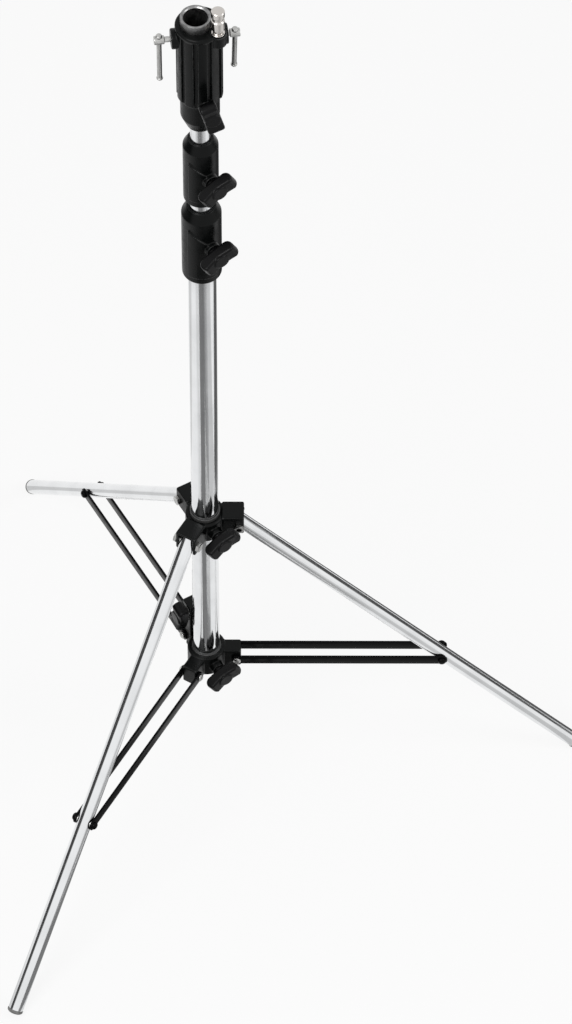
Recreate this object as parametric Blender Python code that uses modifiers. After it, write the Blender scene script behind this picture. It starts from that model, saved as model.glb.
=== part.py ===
"""Steel tripod stand: a telescopic column on three folding legs, with a spigot socket on top.

Units are metres and +Z is up. The origin is the centre of the underside of the column's end plug.
+X points along the right-hand leg, and the other two legs stand 120 degrees to either side of it.
"""

import math

import bmesh
import bpy
from mathutils import Matrix

# Clearances
FIT_GAP = 0.0003
PIVOT_GAP = 0.0006
CUT_MARGIN = 0.002

# Column tubes
TUBE_WALL = 0.0015
MAIN_TUBE_DIAMETER = 0.035
RISER_1_DIAMETER = 0.030
RISER_2_DIAMETER = 0.025
MAIN_TUBE_LENGTH = 0.875
RISER_1_FOOT_GAP = 0.0318
RISER_2_FOOT_GAP = 0.025
PLUG_FLANGE_HEIGHT = 0.004
PLUG_DEPTH = 0.018
PLUG_EDGE_BEVEL = 0.001
RISER_BUSH_HEIGHT = 0.030
RISER_BUSH_LIP = 0.002

# Column collars, each clamped to the tube below it and guiding the tube above it
MAIN_COLLAR_RADIUS = 0.0245
MAIN_COLLAR_HEIGHT = 0.111
MAIN_COLLAR_SHOULDER = 0.013
MAIN_COLLAR_SEAT = 0.056
RISER_COLLAR_RADIUS = 0.0215
RISER_COLLAR_HEIGHT = 0.0945
RISER_COLLAR_SHOULDER = 0.012
RISER_COLLAR_SEAT = 0.045
COLLAR_CHAMFER = 0.002
COLLAR_LIP = 0.0025
COLLAR_BOSS_RADIUS = 0.0095
COLLAR_BOSS_PROUD = 0.006
COLLAR_BOSS_DROP = 0.044
COLLAR_PAD_PROUD = 0.002
COLLAR_PAD_BASE = 0.012
COLLAR_PAD_RISE = 0.013
COLLAR_PAD_SLOPE = 41.0
COLLAR_PAD_START = -130.0
COLLAR_PAD_END = -36.0
COLLAR_PAD_STEPS = 8
RISER_1_REST_GAP = 0.0155
RISER_2_REST_GAP = 0.0275

# Head with the 28 mm socket, which sits beside the column's axis to leave room for the stud
SOCKET_BORE = 0.0286
SOCKET_WALL = 0.004
SOCKET_DEPTH = 0.060
SOCKET_RIM_PROUD = 0.012
SOCKET_RIM_CHAMFER = 0.0015
SOCKET_OFFSET = 0.004
HEAD_NECK_RADIUS = 0.0165
HEAD_CLAMP_RADIUS = 0.0235
HEAD_CLAMP_BASE = 0.018
HEAD_CLAMP_HEIGHT = 0.031
HEAD_STEP_HEIGHT = 0.004
HEAD_BARREL_RADIUS = 0.0275
HEAD_BARREL_HEIGHT = 0.1135
HEAD_FLANGE_RADIUS = 0.0285
HEAD_FLANGE_HEIGHT = 0.005
HEAD_FLANGE_CHAMFER = 0.0015
HEAD_SEAT = 0.070
HEAD_GROOVES = 10
HEAD_GROOVE_WIDTH = 0.0052
HEAD_GROOVE_DEPTH = 0.0035
HEAD_FIRST_RIB_AZIMUTH = -81.0
HEAD_BOSS_RADIUS = 0.0085
HEAD_BOSS_PROUD = 0.005
HEAD_BOSS_HEIGHT = 0.0565

# 16 mm stud beside the socket
STUD_DIAMETER = 0.016
STUD_HEIGHT = 0.0525
STUD_SEAT = 0.016
STUD_NECK_DIAMETER = 0.0115
STUD_NECK_HEIGHT = 0.007
STUD_GROOVE_DEPTH = 0.0015
STUD_GROOVE_HEIGHT = 0.007
STUD_GROOVE_DROP = 0.009
STUD_TIP_CHAMFER = 0.0012
STUD_AZIMUTH = -27.0
STUD_BOSS_WALL = 0.0025
STUD_BOSS_HEIGHT = 0.018

# Socket screws with sliding bars
SOCKET_SCREW_AZIMUTHS = {"right": 8.0, "left": 188.0}
SOCKET_SCREW_ROLLS = {"right": 8.0, "left": 0.0}
SOCKET_SCREW_STANDOFFS = {"right": 0.0022, "left": 0.0075}
SOCKET_SCREW_DIAMETER = 0.008
SOCKET_SCREW_DROP = 0.022
SOCKET_BOSS_RADIUS = 0.0125
SOCKET_BOSS_PROUD = 0.006
SOCKET_BOSS_CHAMFER = 0.0015
SCREW_EYE_RADIUS = 0.0053
SCREW_EYE_LENGTH = 0.012
SCREW_EYE_CHAMFER = 0.001
SCREW_NECK_DIAMETER = 0.007
TOMMY_BAR_DIAMETER = 0.006
TOMMY_BAR_LENGTH = 0.076
TOMMY_CAP_HEIGHT = 0.003
TOMMY_CAP_OVERHANG = 0.0009

# Clamp screws with wing knobs
CLAMP_SCREW_DIAMETER = 0.008
KNOB_STANDOFF = 0.002
KNOB_HUB_RADIUS = 0.010
KNOB_HUB_LENGTH = 0.016
KNOB_SPAN = 0.048
KNOB_THICKNESS = 0.021
KNOB_TIP_RADIUS = 0.0085
KNOB_TIP_START = 20.0
KNOB_TIP_END = 190.0
KNOB_SWEEP = 0.003
KNOB_ROOT_SWEEP = 0.0015
KNOB_BACK_INSET = 0.002
KNOB_EDGE_BEVEL = 0.0025
KNOB_SCREW_DEPTH = 0.008
KNOB_AZIMUTH = -60.0
KNOB_ROLL = 28.0
HEAD_KNOB_AZIMUTH = -72.0
HEAD_KNOB_ROLL = 104.0

# Legs
LEG_DIAMETER = 0.020
LEG_WALL = 0.0015
LEG_LENGTH = 0.675
LEG_OVERHANG = 0.011
LEG_SPREAD = 42.4
LEG_PIVOT_RADIUS = 0.044
LEG_AZIMUTHS = {"right": 0.0, "front": -120.0, "level": 120.0}
LEG_BOLT_DIAMETER = 0.008
BOLT_HEAD_RADIUS = 0.0070
BOLT_HEAD_HEIGHT = 0.004
FOOT_CAP_HEIGHT = 0.005
FOOT_PLUG_DEPTH = 0.018
FOOT_CAP_OVERHANG = 0.0004
FOOT_EDGE_BEVEL = 0.002

# Braces
BRACE_JOINT_ALONG_LEG = 0.400
BRACE_PIN_RADIUS = 0.0405
BRACE_PIN_DIAMETER = 0.006
BRACE_PIN_HEAD_RADIUS = 0.0052
BRACE_PIN_HEAD_HEIGHT = 0.003
BRACE_BAR_HEIGHT = 0.015
BRACE_BAR_THICKNESS = 0.003
BRACE_BUSH_DIAMETER = 0.010
RIVET_RADIUS = 0.0055
RIVET_HEIGHT = 0.0045

# Spider, the upper casting that carries the legs
SLIDE_BUSH_WALL = 0.0018
SLIDE_BUSH_PROUD = 0.004
HUB_RADIUS = 0.0255
SPIDER_HEIGHT = 0.034
SPIDER_CHEEK = 0.004
SPIDER_CHEEK_REACH = 0.0065
SPIDER_CHEEK_BELOW = 0.013
SPIDER_CHEEK_ABOVE = 0.019
SPIDER_WEB = 0.003
HUB_BOSS_RADIUS = 0.009
HUB_BOSS_PROUD = 0.008
HUB_CHAMFER = 0.002

# Lower collar, the casting that carries the braces
BRACE_PIN_HEIGHT = 0.024
LOWER_COLLAR_HEIGHT = 0.036
LOWER_LUG_HEIGHT = 0.032
LOWER_LUG_REACH = 0.0055

# Levelling slide for the third leg's brace
POST_DIAMETER = 0.006
POST_RADIUS = 0.0308
POST_FOOT_HEIGHT = 0.007
POST_FOOT_REACH = 0.0075
SLIDER_INNER_RADIUS = 0.0262
SLIDER_HEIGHT = 0.082
SLIDER_BELOW_PIN = 0.0095
SLIDER_KNOB_HEIGHT = 0.061
SLIDER_KNOB_ROLL = 80.0
SLIDER_KNOB_TURN = 90.0
LEVELLING_TRAVEL = 0.075

# Facets
TUBE_SIDES = 24
LEG_SIDES = 16
SMALL_SIDES = 12
HEX_SIDES = 6
SIDES_PER_RIB = 4
KNOB_ARC_STEPS = 4
BAR_ARC_STEPS = 6
SMOOTH_ANGLE = 35.0
BEVEL_ANGLE = 50.0
WELD_DISTANCE = 1e-6
MARKER_SIZE = 0.02

# Colours as linear RGB, then roughness and metallic
CHROME = ((0.72, 0.73, 0.74), 0.12, 1.0)
ZINC = ((0.62, 0.63, 0.62), 0.3, 1.0)
CAST_BLACK = ((0.012, 0.013, 0.013), 0.42, 0.0)
BAR_BLACK = ((0.008, 0.008, 0.009), 0.35, 0.0)
KNOB_BLACK = ((0.010, 0.011, 0.012), 0.38, 0.0)
RUBBER_GREY = ((0.12, 0.12, 0.12), 0.7, 0.0)
NYLON_BLACK = ((0.02, 0.02, 0.02), 0.5, 0.0)

# Places that follow from the sizes
SPREAD = math.radians(LEG_SPREAD)
MAIN_RADIUS = MAIN_TUBE_DIAMETER / 2
RISER_1_RADIUS = RISER_1_DIAMETER / 2
RISER_2_RADIUS = RISER_2_DIAMETER / 2
LEG_RADIUS = LEG_DIAMETER / 2
SOCKET_RADIUS = SOCKET_BORE / 2
SLEEVE_RADIUS = SOCKET_RADIUS + SOCKET_WALL
MAIN_TUBE_BASE = PLUG_FLANGE_HEIGHT + FIT_GAP
MAIN_TUBE_TOP = MAIN_TUBE_BASE + MAIN_TUBE_LENGTH
RISER_1_FOOT = PLUG_DEPTH + RISER_1_FOOT_GAP
RISER_2_FOOT = RISER_1_FOOT + RISER_2_FOOT_GAP
MAIN_COLLAR_BASE = MAIN_TUBE_TOP - MAIN_COLLAR_SEAT
MAIN_COLLAR_TOP = MAIN_COLLAR_BASE + MAIN_COLLAR_HEIGHT + MAIN_COLLAR_SHOULDER
RISER_COLLAR_BASE = MAIN_COLLAR_TOP + RISER_1_REST_GAP
RISER_1_TOP = RISER_COLLAR_BASE + RISER_COLLAR_SEAT
RISER_COLLAR_TOP = RISER_COLLAR_BASE + RISER_COLLAR_HEIGHT + RISER_COLLAR_SHOULDER
HEAD_BASE = RISER_COLLAR_TOP + RISER_2_REST_GAP
RISER_2_TOP = HEAD_BASE + HEAD_SEAT
HEAD_STEP_BASE = HEAD_CLAMP_BASE + HEAD_CLAMP_HEIGHT
HEAD_BARREL_BASE = HEAD_STEP_BASE + HEAD_STEP_HEIGHT
HEAD_FLANGE_BASE = HEAD_BARREL_BASE + HEAD_BARREL_HEIGHT
HEAD_TOP = HEAD_FLANGE_BASE + HEAD_FLANGE_HEIGHT
SOCKET_RIM = HEAD_TOP + SOCKET_RIM_PROUD
SOCKET_FLOOR = SOCKET_RIM - SOCKET_DEPTH
SOCKET_SCREW_HEIGHT = HEAD_TOP - SOCKET_SCREW_DROP
STUD_RADIUS = STUD_DIAMETER / 2
STUD_OFFSET = SLEEVE_RADIUS + FIT_GAP + STUD_BOSS_WALL + STUD_RADIUS
STUD_BASE = HEAD_TOP - STUD_SEAT
LEG_PIVOT_HEIGHT = BRACE_PIN_HEIGHT + BRACE_JOINT_ALONG_LEG * math.cos(SPREAD)
BRACE_LENGTH = LEG_PIVOT_RADIUS + BRACE_JOINT_ALONG_LEG * math.sin(SPREAD) - BRACE_PIN_RADIUS
BRACE_TILT = math.atan2(LEVELLING_TRAVEL, BRACE_LENGTH)
TILT_ARM = LEVELLING_TRAVEL / 2 / math.tan(BRACE_TILT / 2)
PIN_SLOT = math.hypot(TILT_ARM, LEVELLING_TRAVEL / 2) - TILT_ARM
BAR_OFFSET = LEG_RADIUS + PIVOT_GAP + BRACE_BAR_THICKNESS / 2
LUG_HALF_WIDTH = LEG_RADIUS + PIVOT_GAP - FIT_GAP
BUSH_RADIUS = MAIN_RADIUS + FIT_GAP + SLIDE_BUSH_WALL

model = None
tools = None


def start_scene():
    """Empty the scene and make the two collections."""
    global model, tools
    for old in list(bpy.data.objects):
        bpy.data.objects.remove(old)
    model = bpy.data.collections.new("tripod_stand")
    tools = bpy.data.collections.new("tripod_stand_tools")
    for collection in (model, tools):
        bpy.context.scene.collection.children.link(collection)


def principled(name, finish):
    """A material with the given colour, roughness and metallic value."""
    colour, roughness, metallic = finish
    material = bpy.data.materials.get(name)
    if material:
        return material
    material = bpy.data.materials.new(name)
    material.use_nodes = True
    shader = material.node_tree.nodes["Principled BSDF"]
    shader.inputs["Base Color"].default_value = (*colour, 1.0)
    shader.inputs["Roughness"].default_value = roughness
    shader.inputs["Metallic"].default_value = metallic
    material.diffuse_color = (*colour, 1.0)
    return material


def empty(name, location=(0, 0, 0), rotation=(0, 0, 0), parent=None):
    """An empty that marks a joint's axis or carries a body's pieces."""
    marker = bpy.data.objects.new(name, None)
    marker.empty_display_size = MARKER_SIZE
    marker.location = location
    marker.rotation_euler = rotation
    marker.parent = parent
    model.objects.link(marker)
    return marker


def object_of(name, mesh, helper=False):
    """An object for the mesh, among the tools if it only shapes another."""
    made = bpy.data.objects.new(name, mesh)
    (tools if helper else model).objects.link(made)
    if helper:
        made.hide_render = True
        made.display_type = "WIRE"
    return made


def finish(piece, material, parent=None, location=(0, 0, 0), rotation=(0, 0, 0)):
    """Give the piece its material, its place and smooth round faces."""
    mesh = piece.data
    mesh.materials.clear()
    mesh.materials.append(material)
    mesh.shade_smooth()
    mesh.set_sharp_from_angle(angle=math.radians(SMOOTH_ANGLE))
    piece.parent = parent
    piece.location = location
    piece.rotation_euler = rotation
    return piece


def evaluated_mesh(source):
    """The object's mesh as its modifiers leave it, with touching points welded."""
    graph = bpy.context.evaluated_depsgraph_get()
    mesh = bpy.data.meshes.new_from_object(source.evaluated_get(graph))
    sheet = bmesh.new()
    sheet.from_mesh(mesh)
    bmesh.ops.remove_doubles(sheet, verts=sheet.verts, dist=WELD_DISTANCE)
    sheet.to_mesh(mesh)
    sheet.free()
    return mesh


def turned(name, profile, sides, closed=False, helper=False):
    """Turn a profile of (radius, height) points round Z, given down its outer side."""
    mesh = bpy.data.meshes.new(name)
    count = len(profile)
    links = [(i, i + 1) for i in range(count - 1)]
    if closed:
        links.append((count - 1, 0))
    mesh.from_pydata([(radius, 0, height) for radius, height in profile], links, [])
    outline = object_of(name, mesh, helper)
    screw = outline.modifiers.new("turn", "SCREW")
    screw.steps = sides
    screw.render_steps = sides
    screw.use_merge_vertices = True
    screw.merge_threshold = WELD_DISTANCE
    outline.data = evaluated_mesh(outline)
    outline.modifiers.clear()
    return outline


def rod(name, radius, bottom, top, sides=SMALL_SIDES, helper=False):
    """A solid cylinder along Z."""
    return turned(name, [(0, top), (radius, top), (radius, bottom), (0, bottom)], sides, helper=helper)


def tube(name, outer, inner, bottom, top, sides=TUBE_SIDES, helper=False):
    """A hollow cylinder along Z."""
    profile = [(inner, top), (outer, top), (outer, bottom), (inner, bottom)]
    return turned(name, profile, sides, closed=True, helper=helper)


def block(name, low, high, helper=True):
    """A box between two corners."""
    sheet = bmesh.new()
    size = [b - a for a, b in zip(low, high)]
    middle = [(a + b) / 2 for a, b in zip(low, high)]
    bmesh.ops.create_cube(sheet, size=1, matrix=Matrix.Translation(middle) @ Matrix.Diagonal((*size, 1)))
    mesh = bpy.data.meshes.new(name)
    sheet.to_mesh(mesh)
    sheet.free()
    return object_of(name, mesh, helper)


def flat_shape(name, points, thickness, helper=False):
    """A flat plate with the given outline in XY, centred on Z."""
    curve = bpy.data.curves.new(name, "CURVE")
    curve.dimensions = "2D"
    curve.fill_mode = "BOTH"
    curve.extrude = thickness / 2
    spline = curve.splines.new("POLY")
    spline.points.add(len(points) - 1)
    for point, (x, y) in zip(spline.points, points):
        point.co = (x, y, 0, 1)
    spline.use_cyclic_u = True
    drawn = object_of(name + "_outline", curve, helper=True)
    bpy.context.view_layer.update()
    plate = object_of(name, evaluated_mesh(drawn), helper)
    bpy.data.objects.remove(drawn)
    outward(plate.data)
    return plate


def outward(mesh):
    """Turn every face of the mesh outwards."""
    sheet = bmesh.new()
    sheet.from_mesh(mesh)
    bmesh.ops.recalc_face_normals(sheet, faces=sheet.faces)
    sheet.to_mesh(mesh)
    sheet.free()


def turn_mesh(piece, matrix):
    """Move the points of the piece, and leave its origin."""
    piece.data.transform(matrix)
    return piece


def along_x(piece):
    """Lay a shape that was made along Z along X."""
    return turn_mesh(piece, Matrix.Rotation(math.radians(90), 4, "Y"))


def along_y(piece):
    """Lay a shape that was made along Z along Y."""
    return turn_mesh(piece, Matrix.Rotation(math.radians(-90), 4, "X"))


def shifted(piece, x=0, y=0, z=0):
    """Move the shape's points by a distance."""
    return turn_mesh(piece, Matrix.Translation((x, y, z)))


def swung(piece, azimuth):
    """Swing the shape's points round Z by an angle in degrees."""
    return turn_mesh(piece, Matrix.Rotation(math.radians(azimuth), 4, "Z"))


def joined(name, pieces):
    """One helper mesh from several shapes that stay clear of each other."""
    sheet = bmesh.new()
    for piece in pieces:
        sheet.from_mesh(piece.data)
        bpy.data.objects.remove(piece)
    mesh = bpy.data.meshes.new(name)
    sheet.to_mesh(mesh)
    sheet.free()
    return object_of(name, mesh, helper=True)


def combine(piece, tool, operation):
    """Add the tool to the piece or cut it away, then keep the result as the piece's mesh."""
    modifier = piece.modifiers.new(tool.name, "BOOLEAN")
    modifier.operation = operation
    modifier.solver = "EXACT"
    modifier.object = tool
    piece.data = evaluated_mesh(piece)
    piece.modifiers.clear()
    bpy.data.objects.remove(tool)
    return piece


def add(piece, tool):
    """Fuse the tool to the piece."""
    return combine(piece, tool, "UNION")


def cut(piece, tool):
    """Cut the tool out of the piece."""
    return combine(piece, tool, "DIFFERENCE")


def bevelled(piece, width, segments=1):
    """Round the sharp edges of the piece."""
    modifier = piece.modifiers.new("edge", "BEVEL")
    modifier.width = width
    modifier.segments = segments
    modifier.limit_method = "ANGLE"
    modifier.angle_limit = math.radians(BEVEL_ANGLE)
    piece.data = evaluated_mesh(piece)
    piece.modifiers.clear()
    return piece


def arc(centre, radius, start, end, steps):
    """Points on an arc between two angles in degrees."""
    angles = [math.radians(start + (end - start) * i / steps) for i in range(steps + 1)]
    return [(centre[0] + radius * math.cos(a), centre[1] + radius * math.sin(a)) for a in angles]


def polar(radius, azimuth, height=0.0):
    """A point at a radius and an azimuth in degrees."""
    angle = math.radians(azimuth)
    return (radius * math.cos(angle), radius * math.sin(angle), height)


def main_tube(parent):
    """The outer column tube and the plug that closes its lower end."""
    body = tube("main_tube", MAIN_RADIUS, MAIN_RADIUS - TUBE_WALL, MAIN_TUBE_BASE, MAIN_TUBE_TOP)
    finish(body, principled("chrome", CHROME), parent)
    stem = MAIN_RADIUS - TUBE_WALL - FIT_GAP
    profile = [
        (0, PLUG_DEPTH),
        (stem, PLUG_DEPTH),
        (stem, PLUG_FLANGE_HEIGHT),
        (MAIN_RADIUS, PLUG_FLANGE_HEIGHT),
        (MAIN_RADIUS, PLUG_EDGE_BEVEL),
        (MAIN_RADIUS - PLUG_EDGE_BEVEL, 0),
        (0, 0),
    ]
    plug = turned("main_tube_plug", profile, TUBE_SIDES)
    finish(plug, principled("nylon_black", NYLON_BLACK), parent)


def collar(name, radius, height, shoulder, seat, lower_tube, upper_tube, base, parent):
    """A turned collar: a wide bore seats on the lower tube and a narrow one guides the upper tube."""
    wide = lower_tube + FIT_GAP
    narrow = upper_tube + FIT_GAP
    profile = [
        (narrow, height + shoulder),
        (narrow + COLLAR_LIP, height + shoulder),
        (radius, height),
        (radius, COLLAR_CHAMFER),
        (radius - COLLAR_CHAMFER, 0),
        (wide, 0),
        (wide, seat + FIT_GAP),
        (narrow, seat + FIT_GAP),
    ]
    body = turned(name, profile, TUBE_SIDES, closed=True)
    screw_height = height - COLLAR_BOSS_DROP
    inside = narrow + (radius - narrow) / 2
    face = radius + COLLAR_BOSS_PROUD
    boss = rod("boss", COLLAR_BOSS_RADIUS, inside, face, helper=True)
    add(body, swung(shifted(along_x(boss), z=screw_height), KNOB_AZIMUTH))
    pad_edge = screw_height + COLLAR_PAD_RISE
    add(body, clamp_pad(inside, radius + COLLAR_PAD_PROUD, COLLAR_PAD_BASE, pad_edge))
    hole = rod("hole", CLAMP_SCREW_DIAMETER / 2 + FIT_GAP, 0, face + CUT_MARGIN, helper=True)
    cut(body, swung(shifted(along_x(hole), z=screw_height), KNOB_AZIMUTH))
    finish(body, principled("cast_black", CAST_BLACK), parent, (0, 0, base))
    return base + screw_height


def clamp_pad(inside, outside, bottom, edge_height):
    """The raised pad round a clamp screw's boss, with a slanted top edge."""
    outline = arc((0, 0), outside, COLLAR_PAD_START, COLLAR_PAD_END, COLLAR_PAD_STEPS)
    outline += arc((0, 0), inside, COLLAR_PAD_END, COLLAR_PAD_START, COLLAR_PAD_STEPS)
    slope = math.radians(COLLAR_PAD_SLOPE)
    tall = edge_height + outside * math.tan(slope) - bottom
    pad = shifted(flat_shape("pad", outline, tall, helper=True), z=bottom + tall / 2)
    above = block("above", (0, -2 * tall, 0), (2 * outside, 2 * tall, 2 * tall))
    turn_mesh(above, Matrix.Rotation(-slope, 4, "X"))
    cut(pad, swung(shifted(above, z=edge_height), (COLLAR_PAD_START + COLLAR_PAD_END) / 2))
    return pad


def riser(name, radius, bottom, top, outer_bore, parent):
    """A sliding tube with the nylon bush that guides its lower end in the tube around it."""
    bore = radius - TUBE_WALL
    body = tube(name + "_tube", radius, bore, bottom, top)
    finish(body, principled("chrome", CHROME), parent)
    profile = [
        (radius + FIT_GAP, bottom + RISER_BUSH_HEIGHT),
        (outer_bore - FIT_GAP, bottom + RISER_BUSH_HEIGHT),
        (outer_bore - FIT_GAP, bottom - RISER_BUSH_LIP),
        (bore, bottom - RISER_BUSH_LIP),
        (bore, bottom - FIT_GAP),
        (radius + FIT_GAP, bottom - FIT_GAP),
    ]
    bush = turned(name + "_bush", profile, TUBE_SIDES, closed=True)
    finish(bush, principled("nylon_black", NYLON_BLACK), parent)


def head_casting(parent):
    """The head: a clamp on the upper riser, a fluted barrel round the socket, and the bosses."""
    profile = [
        (0, HEAD_TOP),
        (HEAD_FLANGE_RADIUS - HEAD_FLANGE_CHAMFER, HEAD_TOP),
        (HEAD_FLANGE_RADIUS, HEAD_TOP - HEAD_FLANGE_CHAMFER),
        (HEAD_FLANGE_RADIUS, HEAD_FLANGE_BASE),
        (HEAD_BARREL_RADIUS, HEAD_FLANGE_BASE - HEAD_FLANGE_CHAMFER),
        (HEAD_BARREL_RADIUS, HEAD_BARREL_BASE),
        (HEAD_CLAMP_RADIUS, HEAD_STEP_BASE),
        (HEAD_CLAMP_RADIUS, HEAD_CLAMP_BASE),
        (HEAD_NECK_RADIUS, 0),
        (0, 0),
    ]
    body = turned("head_casting", profile, HEAD_GROOVES * SIDES_PER_RIB)
    cut(body, head_grooves())
    add(body, joined("bosses", [socket_screw_boss(side) for side in SOCKET_SCREW_AZIMUTHS]))
    add(body, head_clamp_boss())
    add(body, stud_boss())
    cut(body, socket_seat())
    bore_top = HEAD_SEAT + FIT_GAP
    cut(body, rod("bore", RISER_2_RADIUS + FIT_GAP, -CUT_MARGIN, bore_top, TUBE_SIDES, True))
    cut(body, stud_hole())
    cut(body, head_screw_holes())
    finish(body, principled("cast_black", CAST_BLACK), parent, (0, 0, HEAD_BASE))


def head_grooves():
    """The flutes down the barrel, one between each pair of ribs."""
    step = 360 / HEAD_GROOVES
    half = HEAD_GROOVE_WIDTH / 2
    low = (HEAD_BARREL_RADIUS - HEAD_GROOVE_DEPTH, -half, HEAD_STEP_BASE)
    high = (HEAD_FLANGE_RADIUS, half, HEAD_FLANGE_BASE - HEAD_FLANGE_CHAMFER)
    azimuths = [HEAD_FIRST_RIB_AZIMUTH + step * (i + 0.5) for i in range(HEAD_GROOVES)]
    return joined("grooves", [swung(block("groove", low, high), azimuth) for azimuth in azimuths])


def boss_face(side):
    """How far from the socket's axis a socket screw's boss ends."""
    shift = SOCKET_OFFSET if side == "right" else -SOCKET_OFFSET
    return HEAD_BARREL_RADIUS + SOCKET_BOSS_PROUD + shift


def from_socket(piece, azimuth, height):
    """Point a shape that was made along Z outwards from the socket's axis."""
    return shifted(swung(shifted(along_x(piece), z=height), azimuth), x=-SOCKET_OFFSET)


def socket_screw_boss(side):
    """The round boss that a socket screw is threaded through."""
    face = boss_face(side)
    profile = [
        (0, face),
        (SOCKET_BOSS_RADIUS - SOCKET_BOSS_CHAMFER, face),
        (SOCKET_BOSS_RADIUS, face - SOCKET_BOSS_CHAMFER),
        (SOCKET_BOSS_RADIUS, SLEEVE_RADIUS),
        (0, SLEEVE_RADIUS),
    ]
    boss = turned("boss", profile, LEG_SIDES)
    return from_socket(boss, SOCKET_SCREW_AZIMUTHS[side], SOCKET_SCREW_HEIGHT)


def head_clamp_boss():
    """The boss for the clamp screw."""
    face = HEAD_BARREL_RADIUS + HEAD_BOSS_PROUD
    boss = rod("boss", HEAD_BOSS_RADIUS, RISER_2_RADIUS + CUT_MARGIN, face, helper=True)
    return swung(shifted(along_x(boss), z=HEAD_BOSS_HEIGHT), HEAD_KNOB_AZIMUTH)


def beside_socket(piece):
    """Move a shape that was made on the Z axis to the stud's place."""
    return shifted(swung(shifted(piece, x=STUD_OFFSET), STUD_AZIMUTH), x=-SOCKET_OFFSET)


def stud_boss():
    """The round boss that holds the stud beside the socket."""
    bottom = HEAD_TOP - STUD_BOSS_HEIGHT
    top = HEAD_TOP - HEAD_FLANGE_CHAMFER
    boss = rod("stud_boss", STUD_RADIUS + STUD_BOSS_WALL, bottom, top, LEG_SIDES, True)
    return beside_socket(boss)


def stud_hole():
    """The stud's seat."""
    bottom = STUD_BASE - FIT_GAP
    hole = rod("stud_hole", STUD_RADIUS + FIT_GAP, bottom, HEAD_TOP + CUT_MARGIN, LEG_SIDES, True)
    return beside_socket(hole)


def socket_seat():
    """The seat for the socket's sleeve."""
    bottom = SOCKET_FLOOR - FIT_GAP
    top = HEAD_TOP + CUT_MARGIN
    seat = rod("socket_seat", SLEEVE_RADIUS + FIT_GAP, bottom, top, TUBE_SIDES, True)
    return shifted(seat, x=-SOCKET_OFFSET)


def head_screw_holes():
    """Holes for the two socket screws and for the clamp screw."""
    holes = []
    radius = SOCKET_SCREW_DIAMETER / 2 + FIT_GAP
    for side, azimuth in SOCKET_SCREW_AZIMUTHS.items():
        hole = rod("hole", radius, SOCKET_RADIUS, boss_face(side) + CUT_MARGIN)
        holes.append(from_socket(hole, azimuth, SOCKET_SCREW_HEIGHT))
    far = HEAD_BARREL_RADIUS + HEAD_BOSS_PROUD + CUT_MARGIN
    hole = rod("hole", CLAMP_SCREW_DIAMETER / 2 + FIT_GAP, 0, far)
    holes.append(swung(shifted(along_x(hole), z=HEAD_BOSS_HEIGHT), HEAD_KNOB_AZIMUTH))
    return joined("holes", holes)


def head_socket(parent):
    """The steel sleeve that lines the 28 mm socket, drilled for the two screws."""
    profile = [
        (SOCKET_RADIUS + SOCKET_RIM_CHAMFER, SOCKET_RIM),
        (SLEEVE_RADIUS, SOCKET_RIM),
        (SLEEVE_RADIUS, SOCKET_FLOOR),
        (SOCKET_RADIUS, SOCKET_FLOOR),
        (SOCKET_RADIUS, SOCKET_RIM - SOCKET_RIM_CHAMFER),
    ]
    sleeve = turned("head_socket", profile, TUBE_SIDES, closed=True)
    holes = []
    radius = SOCKET_SCREW_DIAMETER / 2 + FIT_GAP
    for azimuth in SOCKET_SCREW_AZIMUTHS.values():
        hole = rod("hole", radius, SOCKET_RADIUS / 2, SLEEVE_RADIUS + CUT_MARGIN)
        holes.append(swung(shifted(along_x(hole), z=SOCKET_SCREW_HEIGHT), azimuth))
    cut(sleeve, joined("holes", holes))
    finish(sleeve, principled("chrome", CHROME), parent, (-SOCKET_OFFSET, 0, HEAD_BASE))


def head_stud(parent):
    """The 16 mm stud with its neck and its snap groove."""
    top = STUD_BASE + STUD_HEIGHT
    groove = STUD_RADIUS - STUD_GROOVE_DEPTH
    groove_top = top - STUD_GROOVE_DROP
    groove_base = groove_top - STUD_GROOVE_HEIGHT
    neck = STUD_NECK_DIAMETER / 2
    profile = [
        (0, top),
        (STUD_RADIUS - STUD_TIP_CHAMFER, top),
        (STUD_RADIUS, top - STUD_TIP_CHAMFER),
        (STUD_RADIUS, groove_top),
        (groove, groove_top - STUD_GROOVE_DEPTH),
        (groove, groove_base + STUD_GROOVE_DEPTH),
        (STUD_RADIUS, groove_base),
        (STUD_RADIUS, HEAD_TOP + STUD_NECK_HEIGHT),
        (neck, HEAD_TOP + STUD_NECK_HEIGHT),
        (neck, HEAD_TOP),
        (STUD_RADIUS, HEAD_TOP),
        (STUD_RADIUS, STUD_BASE),
        (0, STUD_BASE),
    ]
    stud = turned("head_stud", profile, LEG_SIDES)
    x, y, z = polar(STUD_OFFSET, STUD_AZIMUTH, HEAD_BASE)
    finish(stud, principled("chrome", CHROME), parent, (x - SOCKET_OFFSET, y, z))


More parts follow.
